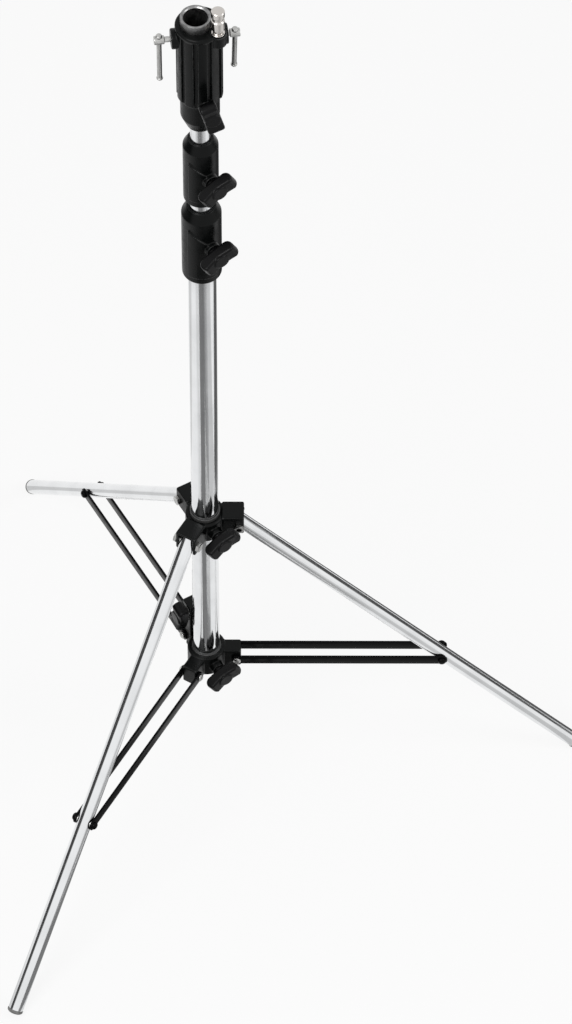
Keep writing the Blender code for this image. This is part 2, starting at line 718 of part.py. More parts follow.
def socket_screw(side, head):
    """A socket screw and the bar that slides through its eye."""
    face = boss_face(side)
    near = face + SOCKET_SCREW_STANDOFFS[side]
    eye_middle = near + SCREW_EYE_LENGTH / 2
    turn = (math.radians(SOCKET_SCREW_ROLLS[side]), 0, math.radians(SOCKET_SCREW_AZIMUTHS[side]))
    place = (-SOCKET_OFFSET, 0, HEAD_BASE + SOCKET_SCREW_HEIGHT)
    axis = empty("socket_screw_" + side + "_axis", place, turn, head)
    thread = SOCKET_SCREW_DIAMETER / 2
    neck = SCREW_NECK_DIAMETER / 2
    profile = [
        (0, near + SCREW_EYE_LENGTH),
        (SCREW_EYE_RADIUS - SCREW_EYE_CHAMFER, near + SCREW_EYE_LENGTH),
        (SCREW_EYE_RADIUS, near + SCREW_EYE_LENGTH - SCREW_EYE_CHAMFER),
        (SCREW_EYE_RADIUS, near + SCREW_EYE_CHAMFER),
        (SCREW_EYE_RADIUS - SCREW_EYE_CHAMFER, near),
        (neck, near),
        (neck, face - SOCKET_BOSS_CHAMFER),
        (thread, face - 2 * SOCKET_BOSS_CHAMFER),
        (thread, SOCKET_RADIUS + FIT_GAP),
        (0, SOCKET_RADIUS + FIT_GAP),
    ]
    screw = along_x(turned("socket_screw_" + side, profile, SMALL_SIDES))
    reach = SCREW_EYE_RADIUS + CUT_MARGIN
    cross = rod("cross", TOMMY_BAR_DIAMETER / 2 + FIT_GAP, -reach, reach, helper=True)
    cut(screw, shifted(cross, x=eye_middle))
    finish(screw, principled("zinc", ZINC), axis)
    bar_axis = empty("tommy_bar_" + side + "_axis", (eye_middle, 0, 0), parent=axis)
    tommy_bar(side, bar_axis)


def tommy_bar(side, parent):
    """A bar with a cap at each end, hanging by its upper cap from the screw's eye."""
    radius = TOMMY_BAR_DIAMETER / 2
    cap = radius + TOMMY_CAP_OVERHANG
    top = SCREW_EYE_RADIUS + FIT_GAP + TOMMY_CAP_HEIGHT
    bottom = top - TOMMY_BAR_LENGTH
    half = TOMMY_CAP_HEIGHT / 2
    profile = [
        (0, top),
        (radius, top),
        (cap, top - half),
        (cap, top - TOMMY_CAP_HEIGHT),
        (radius, top - TOMMY_CAP_HEIGHT),
        (radius, bottom + TOMMY_CAP_HEIGHT),
        (cap, bottom + TOMMY_CAP_HEIGHT),
        (cap, bottom + half),
        (radius, bottom),
        (0, bottom),
    ]
    bar = turned("tommy_bar_" + side, profile, SMALL_SIDES)
    finish(bar, principled("zinc", ZINC), parent)


def wing_outline():
    """Half of the knob's outline: one wing that sweeps outwards to a round tip."""
    tip = (KNOB_HUB_LENGTH / 2 + KNOB_SWEEP, KNOB_SPAN / 2 - KNOB_TIP_RADIUS)
    root = KNOB_HUB_RADIUS
    points = [(KNOB_HUB_LENGTH, 0), (KNOB_HUB_LENGTH + KNOB_ROOT_SWEEP, root)]
    points += arc(tip, KNOB_TIP_RADIUS, KNOB_TIP_START, KNOB_TIP_END, KNOB_ARC_STEPS)
    points += [(KNOB_BACK_INSET, root), (KNOB_BACK_INSET, 0)]
    return points


def wing_knob(name, screw_reach, location, azimuth, roll, parent):
    """A wing knob and its clamp screw, pointing outwards at the given azimuth."""
    rotation = (math.radians(roll), 0, math.radians(azimuth))
    axis = empty(name + "_axis", location, rotation, parent)
    half = wing_outline()
    outline = half + [(x, -y) for x, y in reversed(half[1:-1])]
    knob = flat_shape(name, outline, KNOB_THICKNESS)
    bevelled(knob, KNOB_EDGE_BEVEL)
    hub = rod("hub", KNOB_HUB_RADIUS, 0, KNOB_HUB_LENGTH + KNOB_EDGE_BEVEL, helper=True)
    add(knob, along_x(hub))
    thread = CLAMP_SCREW_DIAMETER / 2
    seat = rod("seat", thread + FIT_GAP, -CUT_MARGIN, KNOB_SCREW_DEPTH + FIT_GAP, helper=True)
    cut(knob, along_x(seat))
    finish(knob, principled("knob_black", KNOB_BLACK), axis)
    screw = along_x(rod(name.replace("knob", "screw"), thread, -screw_reach, KNOB_SCREW_DEPTH))
    finish(screw, principled("zinc", ZINC), axis)
    return axis


def slide_bush(name, height, middle, parent):
    """The nylon ring that a sliding casting rides on."""
    half = height / 2 + SLIDE_BUSH_PROUD
    ring = tube(name, BUSH_RADIUS, MAIN_RADIUS + FIT_GAP, middle - half, middle + half)
    finish(ring, principled("nylon_black", NYLON_BLACK), parent)


def hub_ring(name, height):
    """The turned ring that a casting's lugs grow from, still without its bore."""
    half = height / 2
    profile = [
        (0, half),
        (HUB_RADIUS - HUB_CHAMFER, half),
        (HUB_RADIUS, half - HUB_CHAMFER),
        (HUB_RADIUS, HUB_CHAMFER - half),
        (HUB_RADIUS - HUB_CHAMFER, -half),
        (0, -half),
    ]
    return turned(name, profile, TUBE_SIDES)


def hub_boss():
    """The boss that the clamp screw passes through."""
    boss = rod("boss", HUB_BOSS_RADIUS, BUSH_RADIUS + CUT_MARGIN, HUB_RADIUS + HUB_BOSS_PROUD, helper=True)
    return swung(along_x(boss), KNOB_AZIMUTH)


def hub_bore(height):
    """The bore round the bush."""
    half = height / 2 + CUT_MARGIN
    return rod("bore", BUSH_RADIUS + FIT_GAP, -half, half, TUBE_SIDES, True)


def hub_screw_hole():
    """The hole for the clamp screw."""
    far = HUB_RADIUS + HUB_BOSS_PROUD + CUT_MARGIN
    hole = rod("hole", CLAMP_SCREW_DIAMETER / 2 + FIT_GAP, MAIN_RADIUS, far, helper=True)
    return swung(along_x(hole), KNOB_AZIMUTH)


def spider_casting(parent):
    """The upper casting, with a clevis of two cheeks and a web for each leg."""
    half_width = LEG_RADIUS + PIVOT_GAP + SPIDER_CHEEK
    root = BUSH_RADIUS + CUT_MARGIN
    reach = LEG_PIVOT_RADIUS + SPIDER_CHEEK_REACH
    corner = math.hypot(LEG_OVERHANG, LEG_RADIUS) + PIVOT_GAP
    arms = []
    slots = []
    for azimuth in LEG_AZIMUTHS.values():
        arm = block("arm", (root, -half_width, -SPIDER_CHEEK_BELOW), (reach, half_width, SPIDER_CHEEK_ABOVE))
        arms.append(swung(bevelled(arm, HUB_CHAMFER), azimuth))
        slot = block(
            "slot",
            (LEG_PIVOT_RADIUS - corner, -LEG_RADIUS - PIVOT_GAP, -SPIDER_CHEEK_BELOW - CUT_MARGIN),
            (reach + CUT_MARGIN, LEG_RADIUS + PIVOT_GAP, SPIDER_CHEEK_ABOVE - SPIDER_WEB),
        )
        slots.append(swung(slot, azimuth))
    body = hub_ring("spider_casting", SPIDER_HEIGHT)
    add(body, joined("arms", arms))
    add(body, hub_boss())
    cut(body, joined("slots", slots))
    cut(body, hub_bore(SPIDER_HEIGHT))
    cut(body, bolt_holes(half_width))
    cut(body, hub_screw_hole())
    finish(body, principled("cast_black", CAST_BLACK), parent)


def bolt_holes(half_width):
    """A cross hole through each clevis for the leg's bolt."""
    holes = []
    for azimuth in LEG_AZIMUTHS.values():
        reach = half_width + CUT_MARGIN
        hole = along_y(rod("hole", LEG_BOLT_DIAMETER / 2 + FIT_GAP, -reach, reach))
        holes.append(swung(shifted(hole, x=LEG_PIVOT_RADIUS), azimuth))
    return joined("holes", holes)


def leg_bolt(side, parent):
    """The bolt that a leg turns on, with its head and its nut."""
    face = LEG_RADIUS + PIVOT_GAP + SPIDER_CHEEK + FIT_GAP
    middle = face + BOLT_HEAD_HEIGHT / 2
    bolt = rod("leg_bolt_" + side, LEG_BOLT_DIAMETER / 2, -middle, middle)
    head = rod("head", BOLT_HEAD_RADIUS, face, face + BOLT_HEAD_HEIGHT, HEX_SIDES)
    nut = rod("nut", BOLT_HEAD_RADIUS, -face - BOLT_HEAD_HEIGHT, -face, HEX_SIDES)
    add(bolt, joined("ends", [head, nut]))
    finish(along_y(bolt), principled("zinc", ZINC), parent)


def leg(side, parent):
    """A leg tube with its cross holes, the plug in its foot and the bush for its braces."""
    name = "leg_" + side
    body = tube(name + "_tube", LEG_RADIUS, LEG_RADIUS - LEG_WALL, -LEG_LENGTH, LEG_OVERHANG, LEG_SIDES)
    reach = LEG_RADIUS + CUT_MARGIN
    pivot = along_y(rod("hole", LEG_BOLT_DIAMETER / 2 + FIT_GAP, -reach, reach))
    brace = along_y(rod("hole", BRACE_BUSH_DIAMETER / 2 + FIT_GAP, -reach, reach))
    cut(body, joined("holes", [pivot, shifted(brace, z=-BRACE_JOINT_ALONG_LEG)]))
    finish(body, principled("chrome", CHROME), parent)
    bush = along_y(rod("brace_bush_" + side, BRACE_BUSH_DIAMETER / 2, -LUG_HALF_WIDTH, LUG_HALF_WIDTH))
    finish(bush, principled("zinc", ZINC), parent, (0, 0, -BRACE_JOINT_ALONG_LEG))
    foot_plug(side, parent)


def foot_plug(side, parent):
    """The grey plug that closes a leg's lower end and stands on the floor."""
    stem = LEG_RADIUS - LEG_WALL - FIT_GAP
    cap = LEG_RADIUS + FOOT_CAP_OVERHANG
    top = -LEG_LENGTH - FIT_GAP
    profile = [
        (0, top + FOOT_PLUG_DEPTH),
        (stem, top + FOOT_PLUG_DEPTH),
        (stem, top),
        (cap, top),
        (cap, top - FOOT_CAP_HEIGHT + FOOT_EDGE_BEVEL),
        (cap - FOOT_EDGE_BEVEL, top - FOOT_CAP_HEIGHT),
        (0, top - FOOT_CAP_HEIGHT),
    ]
    plug = turned("leg_foot_" + side, profile, LEG_SIDES)
    finish(plug, principled("rubber_grey", RUBBER_GREY), parent)


def lower_collar(parent):
    """The lower casting: two brace lugs, the foot of the levelling post and the screw boss."""
    root = BUSH_RADIUS + CUT_MARGIN
    reach = BRACE_PIN_RADIUS + LOWER_LUG_REACH
    half = LOWER_LUG_HEIGHT / 2
    bottom = -LOWER_COLLAR_HEIGHT / 2
    lugs = []
    for side in ("right", "front"):
        lug = block("lug", (root, -LUG_HALF_WIDTH, -half), (reach, LUG_HALF_WIDTH, half))
        lugs.append(swung(bevelled(lug, HUB_CHAMFER), LEG_AZIMUTHS[side]))
    foot_end = (POST_RADIUS + POST_FOOT_REACH, LUG_HALF_WIDTH, bottom + POST_FOOT_HEIGHT)
    foot = block("foot", (root, -LUG_HALF_WIDTH, bottom), foot_end)
    lugs.append(swung(foot, LEG_AZIMUTHS["level"]))
    body = hub_ring("lower_collar", LOWER_COLLAR_HEIGHT)
    add(body, joined("lugs", lugs))
    add(body, hub_boss())
    cut(body, hub_bore(LOWER_COLLAR_HEIGHT))
    cut(body, hub_screw_hole())
    cut(body, lower_collar_holes(bottom))
    finish(body, principled("cast_black", CAST_BLACK), parent)


def lower_collar_holes(bottom):
    """Holes for the two brace pins and for the levelling post."""
    reach = LUG_HALF_WIDTH + CUT_MARGIN
    holes = []
    for side in ("right", "front"):
        hole = along_y(rod("hole", BRACE_PIN_DIAMETER / 2 + FIT_GAP, -reach, reach))
        holes.append(swung(shifted(hole, x=BRACE_PIN_RADIUS), LEG_AZIMUTHS[side]))
    top = bottom + POST_FOOT_HEIGHT + CUT_MARGIN
    post = rod("hole", POST_DIAMETER / 2 + FIT_GAP, bottom - CUT_MARGIN, top)
    holes.append(swung(shifted(post, x=POST_RADIUS), LEG_AZIMUTHS["level"]))
    return joined("holes", holes)


def levelling_post(parent):
    """The rod beside the column that the levelling slider runs on."""
    bottom = -LOWER_COLLAR_HEIGHT / 2
    top = SLIDER_HEIGHT - SLIDER_BELOW_PIN + LEVELLING_TRAVEL
    post = rod("levelling_post", POST_DIAMETER / 2, bottom, top)
    x, y, _ = polar(POST_RADIUS, LEG_AZIMUTHS["level"])
    finish(post, principled("zinc", ZINC), parent, (x, y, 0))


def levelling_slider(parent):
    """The block that runs on the post, carries the third brace and takes the levelling screw."""
    reach = BRACE_PIN_RADIUS + LOWER_LUG_REACH
    top = SLIDER_HEIGHT - SLIDER_BELOW_PIN
    body = block(
        "levelling_slider",
        (SLIDER_INNER_RADIUS, -LUG_HALF_WIDTH, -SLIDER_BELOW_PIN),
        (reach, LUG_HALF_WIDTH, top),
        helper=False,
    )
    bevelled(body, HUB_CHAMFER / 2)
    bore = rod("bore", POST_DIAMETER / 2 + FIT_GAP, -SLIDER_BELOW_PIN - CUT_MARGIN, top + CUT_MARGIN)
    cut(body, joined("bore", [shifted(bore, x=POST_RADIUS)]))
    cut(body, shifted(pin_slot(), x=BRACE_PIN_RADIUS))
    screw = rod("screw_hole", CLAMP_SCREW_DIAMETER / 2 + FIT_GAP, 0, reach, helper=True)
    screw = shifted(swung(along_x(screw), SLIDER_KNOB_TURN), x=POST_RADIUS, z=SLIDER_KNOB_HEIGHT)
    cut(body, screw)
    finish(body, principled("cast_black", CAST_BLACK), parent)


def pin_slot():
    """The slot for the third brace's pin, which swings inwards a little on its way up."""
    radius = BRACE_PIN_DIAMETER / 2 + FIT_GAP
    outline = arc((0, 0), radius, -90, 90, BAR_ARC_STEPS)
    outline += arc((-PIN_SLOT, 0), radius, 90, 270, BAR_ARC_STEPS)
    return along_y(flat_shape("slot", outline, 2 * (LUG_HALF_WIDTH + CUT_MARGIN), helper=True))


def levelling_knob(parent):
    """The wing knob on the slider, turned aside so that it clears the braces."""
    offset = LUG_HALF_WIDTH + KNOB_STANDOFF
    reach = offset - POST_DIAMETER / 2 - FIT_GAP
    place = (POST_RADIUS, offset, SLIDER_KNOB_HEIGHT)
    wing_knob("levelling_knob", reach, place, SLIDER_KNOB_TURN, SLIDER_KNOB_ROLL, parent)


def brace_pin(side, parent):
    """The pin that a pair of braces turns on, with a head at each end."""
    face = BAR_OFFSET + BRACE_BAR_THICKNESS / 2 + FIT_GAP
    end = face + BRACE_PIN_HEAD_HEIGHT
    radius = BRACE_PIN_DIAMETER / 2
    profile = [
        (0, end),
        (radius, end),
        (BRACE_PIN_HEAD_RADIUS, face + BRACE_PIN_HEAD_HEIGHT / 2),
        (BRACE_PIN_HEAD_RADIUS, face),
        (radius, face),
    ]
    profile += [(r, -z) for r, z in reversed(profile)]
    pin = along_y(turned("brace_pin_" + side, profile, SMALL_SIDES))
    finish(pin, principled("zinc", ZINC), parent)


def brace_bar(name, side_sign, parent):
    """A flat brace bar with round ends, a hole for its pin and a rivet at its outer end."""
    radius = BRACE_BAR_HEIGHT / 2
    outline = arc((0, 0), radius, 90, 270, BAR_ARC_STEPS)
    outline += arc((BRACE_LENGTH, 0), radius, -90, 90, BAR_ARC_STEPS)
    bar = flat_shape(name, outline, BRACE_BAR_THICKNESS)
    half = BRACE_BAR_THICKNESS / 2
    profile = [
        (0, half + RIVET_HEIGHT),
        (RIVET_RADIUS / 2, half + RIVET_HEIGHT),
        (RIVET_RADIUS, half + RIVET_HEIGHT / 2),
        (RIVET_RADIUS, 0),
        (0, 0),
    ]
    add(bar, shifted(turned("rivet", profile, SMALL_SIDES, helper=True), x=BRACE_LENGTH))
    hole = rod("hole", BRACE_PIN_DIAMETER / 2 + FIT_GAP, -half - CUT_MARGIN, half + CUT_MARGIN, helper=True)
    cut(bar, hole)
    turn_mesh(bar, Matrix.Rotation(math.radians(-90 * side_sign), 4, "X"))
    finish(bar, principled("bar_black", BAR_BLACK), parent, (0, side_sign * BAR_OFFSET, 0))


def build_column(root):
    """Tubes, collars and head, each body under its own empty."""
    main_tube(root)
    screw_height = collar(
        "main_collar",
        MAIN_COLLAR_RADIUS,
        MAIN_COLLAR_HEIGHT,
        MAIN_COLLAR_SHOULDER,
        MAIN_COLLAR_SEAT,
        MAIN_RADIUS,
        RISER_1_RADIUS,
        MAIN_COLLAR_BASE,
        root,
    )
    face = MAIN_COLLAR_RADIUS + COLLAR_BOSS_PROUD
    column_knob("main_collar_knob", face, RISER_1_RADIUS, screw_height, KNOB_ROLL, root)
    riser_1 = empty("riser_1", parent=root)
    riser("riser_1", RISER_1_RADIUS, RISER_1_FOOT, RISER_1_TOP, MAIN_RADIUS - TUBE_WALL, riser_1)
    screw_height = collar(
        "riser_collar",
        RISER_COLLAR_RADIUS,
        RISER_COLLAR_HEIGHT,
        RISER_COLLAR_SHOULDER,
        RISER_COLLAR_SEAT,
        RISER_1_RADIUS,
        RISER_2_RADIUS,
        RISER_COLLAR_BASE,
        riser_1,
    )
    face = RISER_COLLAR_RADIUS + COLLAR_BOSS_PROUD
    column_knob("riser_collar_knob", face, RISER_2_RADIUS, screw_height, KNOB_ROLL, riser_1)
    riser_2 = empty("riser_2", parent=riser_1)
    riser("riser_2", RISER_2_RADIUS, RISER_2_FOOT, RISER_2_TOP, RISER_1_RADIUS - TUBE_WALL, riser_2)
    build_head(riser_2)


def column_knob(name, face, tube_radius, height, roll, parent, azimuth=KNOB_AZIMUTH):
    """A wing knob on a collar, with its screw reaching to the tube that it clamps."""
    radius = face + KNOB_STANDOFF
    reach = radius - tube_radius - FIT_GAP
    wing_knob(name, reach, polar(radius, azimuth, height), azimuth, roll, parent)


def build_head(riser_2):
    """The head and everything that it carries."""
    head = empty("head", parent=riser_2)
    head_casting(head)
    head_socket(head)
    head_stud(head)
    face = HEAD_BARREL_RADIUS + HEAD_BOSS_PROUD
    height = HEAD_BASE + HEAD_BOSS_HEIGHT
    column_knob("head_knob", face, RISER_2_RADIUS, height, HEAD_KNOB_ROLL, head, HEAD_KNOB_AZIMUTH)
    for side in SOCKET_SCREW_AZIMUTHS:
        socket_screw(side, head)


def build_base(root):
    """Lower collar, spider, legs and braces."""
    collar_empty = empty("lower_collar_slide", (0, 0, BRACE_PIN_HEIGHT), parent=root)
    lower_collar(collar_empty)
    slide_bush("lower_collar_bush", LOWER_COLLAR_HEIGHT - 2 * SLIDE_BUSH_PROUD, 0, collar_empty)
    levelling_post(collar_empty)
    face = HUB_RADIUS + HUB_BOSS_PROUD
    column_knob("lower_collar_knob", face, BUSH_RADIUS, 0, KNOB_ROLL, collar_empty)
    rise = LEG_PIVOT_HEIGHT - BRACE_PIN_HEIGHT
    spider = empty("spider_slide", (0, 0, rise), parent=collar_empty)
    spider_casting(spider)
    slide_bush("spider_bush", SPIDER_HEIGHT, 0, spider)
    column_knob("spider_knob", face, BUSH_RADIUS, 0, KNOB_ROLL, spider)
    for side, azimuth in LEG_AZIMUTHS.items():
        build_leg(side, azimuth, spider)
        build_brace(side, azimuth, collar_empty)


def build_leg(side, azimuth, spider):
    """One leg under an empty on its pivot, tilted so that the leg runs down local Z."""
    place = polar(LEG_PIVOT_RADIUS, azimuth)
    pivot = empty("leg_pivot_" + side, place, (0, 0, math.radians(azimuth)), spider)
    leg_bolt(side, pivot)
    swing = empty("leg_swing_" + side, rotation=(0, -SPREAD, 0), parent=pivot)
    leg(side, swing)


def build_brace(side, azimuth, collar_empty):
    """One pair of brace bars under an empty on their pin."""
    radial = empty("brace_radial_" + side, rotation=(0, 0, math.radians(azimuth)), parent=collar_empty)
    if side == "level":
        levelling_slider(radial)
        levelling_knob(radial)
    hinge = empty("brace_hinge_" + side, (BRACE_PIN_RADIUS, 0, 0), parent=radial)
    brace_pin(side, hinge)
    brace_bar("brace_" + side + "_bar_a", 1, hinge)
    brace_bar("brace_" + side + "_bar_b", -1, hinge)


def main():
    """Build the whole stand."""
    start_scene()
    root = empty("column")
    build_column(root)
    build_base(root)
    bpy.context.view_layer.update()


main()
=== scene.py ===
# %% [markdown]
# # Steel tripod stand, dressed for its photograph
#
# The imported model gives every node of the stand, its place and its joints. This lesson keeps
# that frame and puts a finer skin over it: rounded castings, chromed tubes, moulded knobs.
# Nothing is moved, so a piece is built in the same metres and at the same place as its node.

# %% Load the frame
import math

import bmesh
import bpy
from mathutils import Matrix, Vector


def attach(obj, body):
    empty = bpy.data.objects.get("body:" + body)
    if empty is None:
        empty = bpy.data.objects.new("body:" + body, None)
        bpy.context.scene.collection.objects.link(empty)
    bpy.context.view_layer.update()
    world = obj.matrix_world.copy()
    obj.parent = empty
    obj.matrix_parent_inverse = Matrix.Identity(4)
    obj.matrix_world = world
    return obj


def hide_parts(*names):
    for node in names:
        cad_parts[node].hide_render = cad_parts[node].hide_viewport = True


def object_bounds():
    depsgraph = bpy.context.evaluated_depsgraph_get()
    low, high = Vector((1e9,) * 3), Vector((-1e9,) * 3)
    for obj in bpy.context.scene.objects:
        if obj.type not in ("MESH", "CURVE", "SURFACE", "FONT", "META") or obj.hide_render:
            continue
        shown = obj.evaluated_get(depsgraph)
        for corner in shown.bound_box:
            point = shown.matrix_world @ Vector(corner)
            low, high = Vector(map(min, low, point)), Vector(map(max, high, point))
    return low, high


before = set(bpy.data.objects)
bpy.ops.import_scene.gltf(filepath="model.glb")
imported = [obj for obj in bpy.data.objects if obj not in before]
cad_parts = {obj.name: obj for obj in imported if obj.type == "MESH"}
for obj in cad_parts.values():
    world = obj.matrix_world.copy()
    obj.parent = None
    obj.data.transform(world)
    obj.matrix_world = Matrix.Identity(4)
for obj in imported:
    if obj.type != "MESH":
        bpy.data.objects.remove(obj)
CAD_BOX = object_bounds()

# %% [markdown]
# ## The camera
#
# The photograph was taken from above and from far away: the view looks down by about 53
# degrees, and the lens is long. Yaw, pitch and roll were fitted to the feet, the pivots and
# the collars of the stand. A camera's matrix has its right, up and back directions as columns,
# so the three angles are turned into these and the matrix is written straight from them.

# %% Camera
VIEW_POINT = Vector((0.07322, -4.28058, 5.99014))
PITCH = 0.92295
YAW = 0.00732
ROLL = 0.00739
FOCAL_PIXELS = 5497.9
IMAGE_HEIGHT = 1024
SENSOR = 36.0
FAR_CLIP = 50

ahead = Vector((math.sin(YAW) * math.cos(PITCH), math.cos(YAW) * math.cos(PITCH), -math.sin(PITCH)))
level_right = Vector((math.cos(YAW), -math.sin(YAW), 0))
level_up = level_right.cross(ahead)
right = level_right * math.cos(ROLL) + level_up * math.sin(ROLL)
up = level_up * math.cos(ROLL) - level_right * math.sin(ROLL)
lens = bpy.data.cameras.new("photo_view")
lens.sensor_fit = "VERTICAL"
lens.sensor_height = SENSOR
lens.lens = FOCAL_PIXELS * SENSOR / IMAGE_HEIGHT
lens.clip_end = FAR_CLIP
camera = bpy.data.objects.new("photo_view", lens)
turn = Matrix((right, up, -ahead)).transposed().to_4x4()
camera.matrix_world = Matrix.Translation(VIEW_POINT) @ turn
bpy.context.scene.collection.objects.link(camera)
bpy.context.scene.camera = camera
print("lens", round(lens.lens, 1), "mm")

# %% [markdown]
# ## Turned shapes
#
# Most parts of a stand come off a lathe: tubes, sleeves, studs, plugs and bosses. A lathe
# shape is a profile of radius and height, swept round an axis. Screw and Spin modifiers can do
# it, but a short bmesh loop gives full control of the poles and needs nothing to apply.
#
# No real edge is perfectly sharp, and a sharp one catches no light. So each corner of the
# profile is first replaced by a small curve, with one extra point held on either side of it.
# These holding points keep the flat faces flat when the mesh is shaded smooth.

# %% Turning helpers
FINE_SIDES = 96
SMALL_SIDES = 48
EASE_STEPS = 4
EDGE = 0.0004
LARGEST_SHARE = 0.4
HOLD = 1.2
ON_AXIS = 1e-7


def eased(profile, radius=EDGE, closed=False):
    """Round each corner of the profile, and hold the straight runs beside it."""
    points = [Vector(point) for point in profile]
    count = len(points)
    result = []
    for i, corner in enumerate(points):
        if not closed and i in (0, count - 1):
            result.append(corner)
            continue
        before = points[i - 1] - corner
        after = points[(i + 1) % count] - corner
        reach = min(radius, before.length * LARGEST_SHARE, after.length * LARGEST_SHARE)
        start = corner + before.normalized() * reach
        end = corner + after.normalized() * reach
        result.append(corner + before.normalized() * reach * HOLD)
        for step in range(EASE_STEPS + 1):
            share = step / EASE_STEPS
            low = start.lerp(corner, share)
            high = corner.lerp(end, share)
            result.append(low.lerp(high, share))
        result.append(corner + after.normalized() * reach * HOLD)
    return [tuple(point) for point in result]


def mirrored(profile, centre=0.0):
    """The profile, followed by its mirror image below the centre."""
    return profile + [(radius, 2 * centre - height) for radius, height in reversed(profile)]


def new_piece(name, sheet):
    """Make an object from a bmesh, with its faces turned outwards."""
    bmesh.ops.recalc_face_normals(sheet, faces=sheet.faces)
    mesh = bpy.data.meshes.new(name)
    sheet.to_mesh(mesh)
    sheet.free()
    piece = bpy.data.objects.new(name, mesh)
    bpy.context.scene.collection.objects.link(piece)
    return piece


def lathe(name, profile, sides=FINE_SIDES, closed=False):
    """Turn (radius, height) points round Z into a closed skin."""
    sheet = bmesh.new()
    rings = []
    for radius, height in profile:
        steps = sides if radius > ON_AXIS else 1
        angles = [2 * math.pi * i / sides for i in range(steps)]
        ring = [(radius * math.cos(a), radius * math.sin(a), height) for a in angles]
        rings.append([sheet.verts.new(point) for point in ring])
    pairs = list(zip(rings, rings[1:]))
    if closed:
        pairs.append((rings[-1], rings[0]))
    for first, second in pairs:
        for i in range(sides):
            j = i + 1
            corners = [first[i % len(first)], first[j % len(first)]]
            corners += [second[j % len(second)], second[i % len(second)]]
            corners = list(dict.fromkeys(corners))
            if len(corners) > 2:
                sheet.faces.new(corners)
    return new_piece(name, sheet)


def rod(name, radius, bottom, top, sides=SMALL_SIDES, edge=EDGE):
    """A solid cylinder along Z with eased rims."""
    profile = [(0, top), (radius, top), (radius, bottom), (0, bottom)]
    return lathe(name, eased(profile, edge), sides)


def pipe(name, outer, inner, bottom, top, sides=FINE_SIDES):
    """A hollow cylinder along Z with eased rims."""
    profile = [(inner, top), (outer, top), (outer, bottom), (inner, bottom)]
    return lathe(name, eased(profile, closed=True), sides, closed=True)


print("a rim is eased by", EDGE * 1000, "mm")

# %% [markdown]
# ## Plates, blocks and places
#
# Bars, wings and pads are flat outlines given a thickness. An outline could be a 2D curve that
# is filled and extruded, but two rings of points and their faces say the same in fewer steps.
# A finished piece keeps its object at the origin, so moving always means moving the mesh.

# %% Plate, block and moving helpers
BLOCK_STEPS = 3
BLOCK_PROFILE = 0.5


def plate(name, outline, thickness):
    """A flat shape with the given outline in XY, centred on Z."""
    sheet = bmesh.new()
    half = thickness / 2
    low = [sheet.verts.new((x, y, -half)) for x, y in outline]
    high = [sheet.verts.new((x, y, half)) for x, y in outline]
    sheet.faces.new(low)
    sheet.faces.new(high)
    for i in range(len(outline)):
        j = (i + 1) % len(outline)
        sheet.faces.new((low[i], low[j], high[j], high[i]))
    return new_piece(name, sheet)


def block(name, low, high, edge=0.0):
    """A box between two corners, with its edges rounded."""
    sheet = bmesh.new()
    size = [b - a for a, b in zip(low, high)]
    middle = [(a + b) / 2 for a, b in zip(low, high)]
    place = Matrix.Translation(middle) @ Matrix.Diagonal((*size, 1))
    bmesh.ops.create_cube(sheet, size=1, matrix=place)
    if edge:
        rounding = {"segments": BLOCK_STEPS, "profile": BLOCK_PROFILE, "affect": "EDGES"}
        bmesh.ops.bevel(sheet, geom=sheet.edges, offset=edge, **rounding)
    return new_piece(name, sheet)


def arc(centre, radius, start, end, steps):
    """Points on an arc between two angles in degrees."""
    angles = [math.radians(start + (end - start) * i / steps) for i in range(steps + 1)]
    return [(centre[0] + radius * math.cos(a), centre[1] + radius * math.sin(a)) for a in angles]


def spin(axis, degrees):
    """A turn about an axis."""
    return Matrix.Rotation(math.radians(degrees), 4, axis)


def shift(x=0.0, y=0.0, z=0.0):
    """A straight move."""
    return Matrix.Translation((x, y, z))


ALONG_X = spin("Y", 90)
ALONG_Y = spin("X", -90)


def moved(piece, matrix):
    """Move the mesh and leave the object at the origin."""
    piece.data.transform(matrix)
    return piece


print("a shape made along Z turns to X or Y with one matrix")

# %% [markdown]
# ## Joining, drilling and casting
#
# A real casting is one body: its lugs and bosses run into it with soft fillets. Booleans join
# and drill the rough shapes exactly, but leave hard inner corners. Bevelling such corners is
# fragile. A voxel remesh with a few rounds of smoothing is safer, and it gives what a mould
# gives: even fillets of about a millimetre everywhere. A cutter that has to come out of a face
# always runs a little past it, so that no two faces lie in one plane.

# %% Joining helpers
CAST_GRAIN = 0.0007
CAST_ROUNDS = 6
CAST_SOFTNESS = 0.5
BEVEL_ANGLE = 50
PAST = 0.002


def settled(piece):
    """Turn what the modifiers make into the piece's own mesh."""
    graph = bpy.context.evaluated_depsgraph_get()
    mesh = bpy.data.meshes.new_from_object(piece.evaluated_get(graph))
    before = piece.data
    piece.modifiers.clear()
    piece.data = mesh
    bpy.data.meshes.remove(before)
    return piece


def combined(piece, tools, operation):
    """Fuse the tools to the piece or cut them out of it."""
    for tool in tools:
        modifier = piece.modifiers.new("tool", "BOOLEAN")
        modifier.operation = operation
        modifier.solver = "EXACT"
        modifier.object = tool
        settled(piece)
        bpy.data.objects.remove(tool)
    return piece


def fused(piece, *tools):
    """One body from the piece and the tools."""
    return combined(piece, tools, "UNION")


def drilled(piece, *tools):
    """The piece with the tools cut away."""
    return combined(piece, tools, "DIFFERENCE")


def with_boss(piece, radius, low, high, place, edge=EDGE):
    """The piece with a round boss along the Z of the place."""
    return fused(piece, moved(rod("boss", radius, low, high, edge=edge), place))


def with_hole(piece, radius, low, high, place=Matrix()):
    """The piece with a round hole along the Z of the place."""
    return drilled(piece, moved(rod("hole", radius, low, high), place))


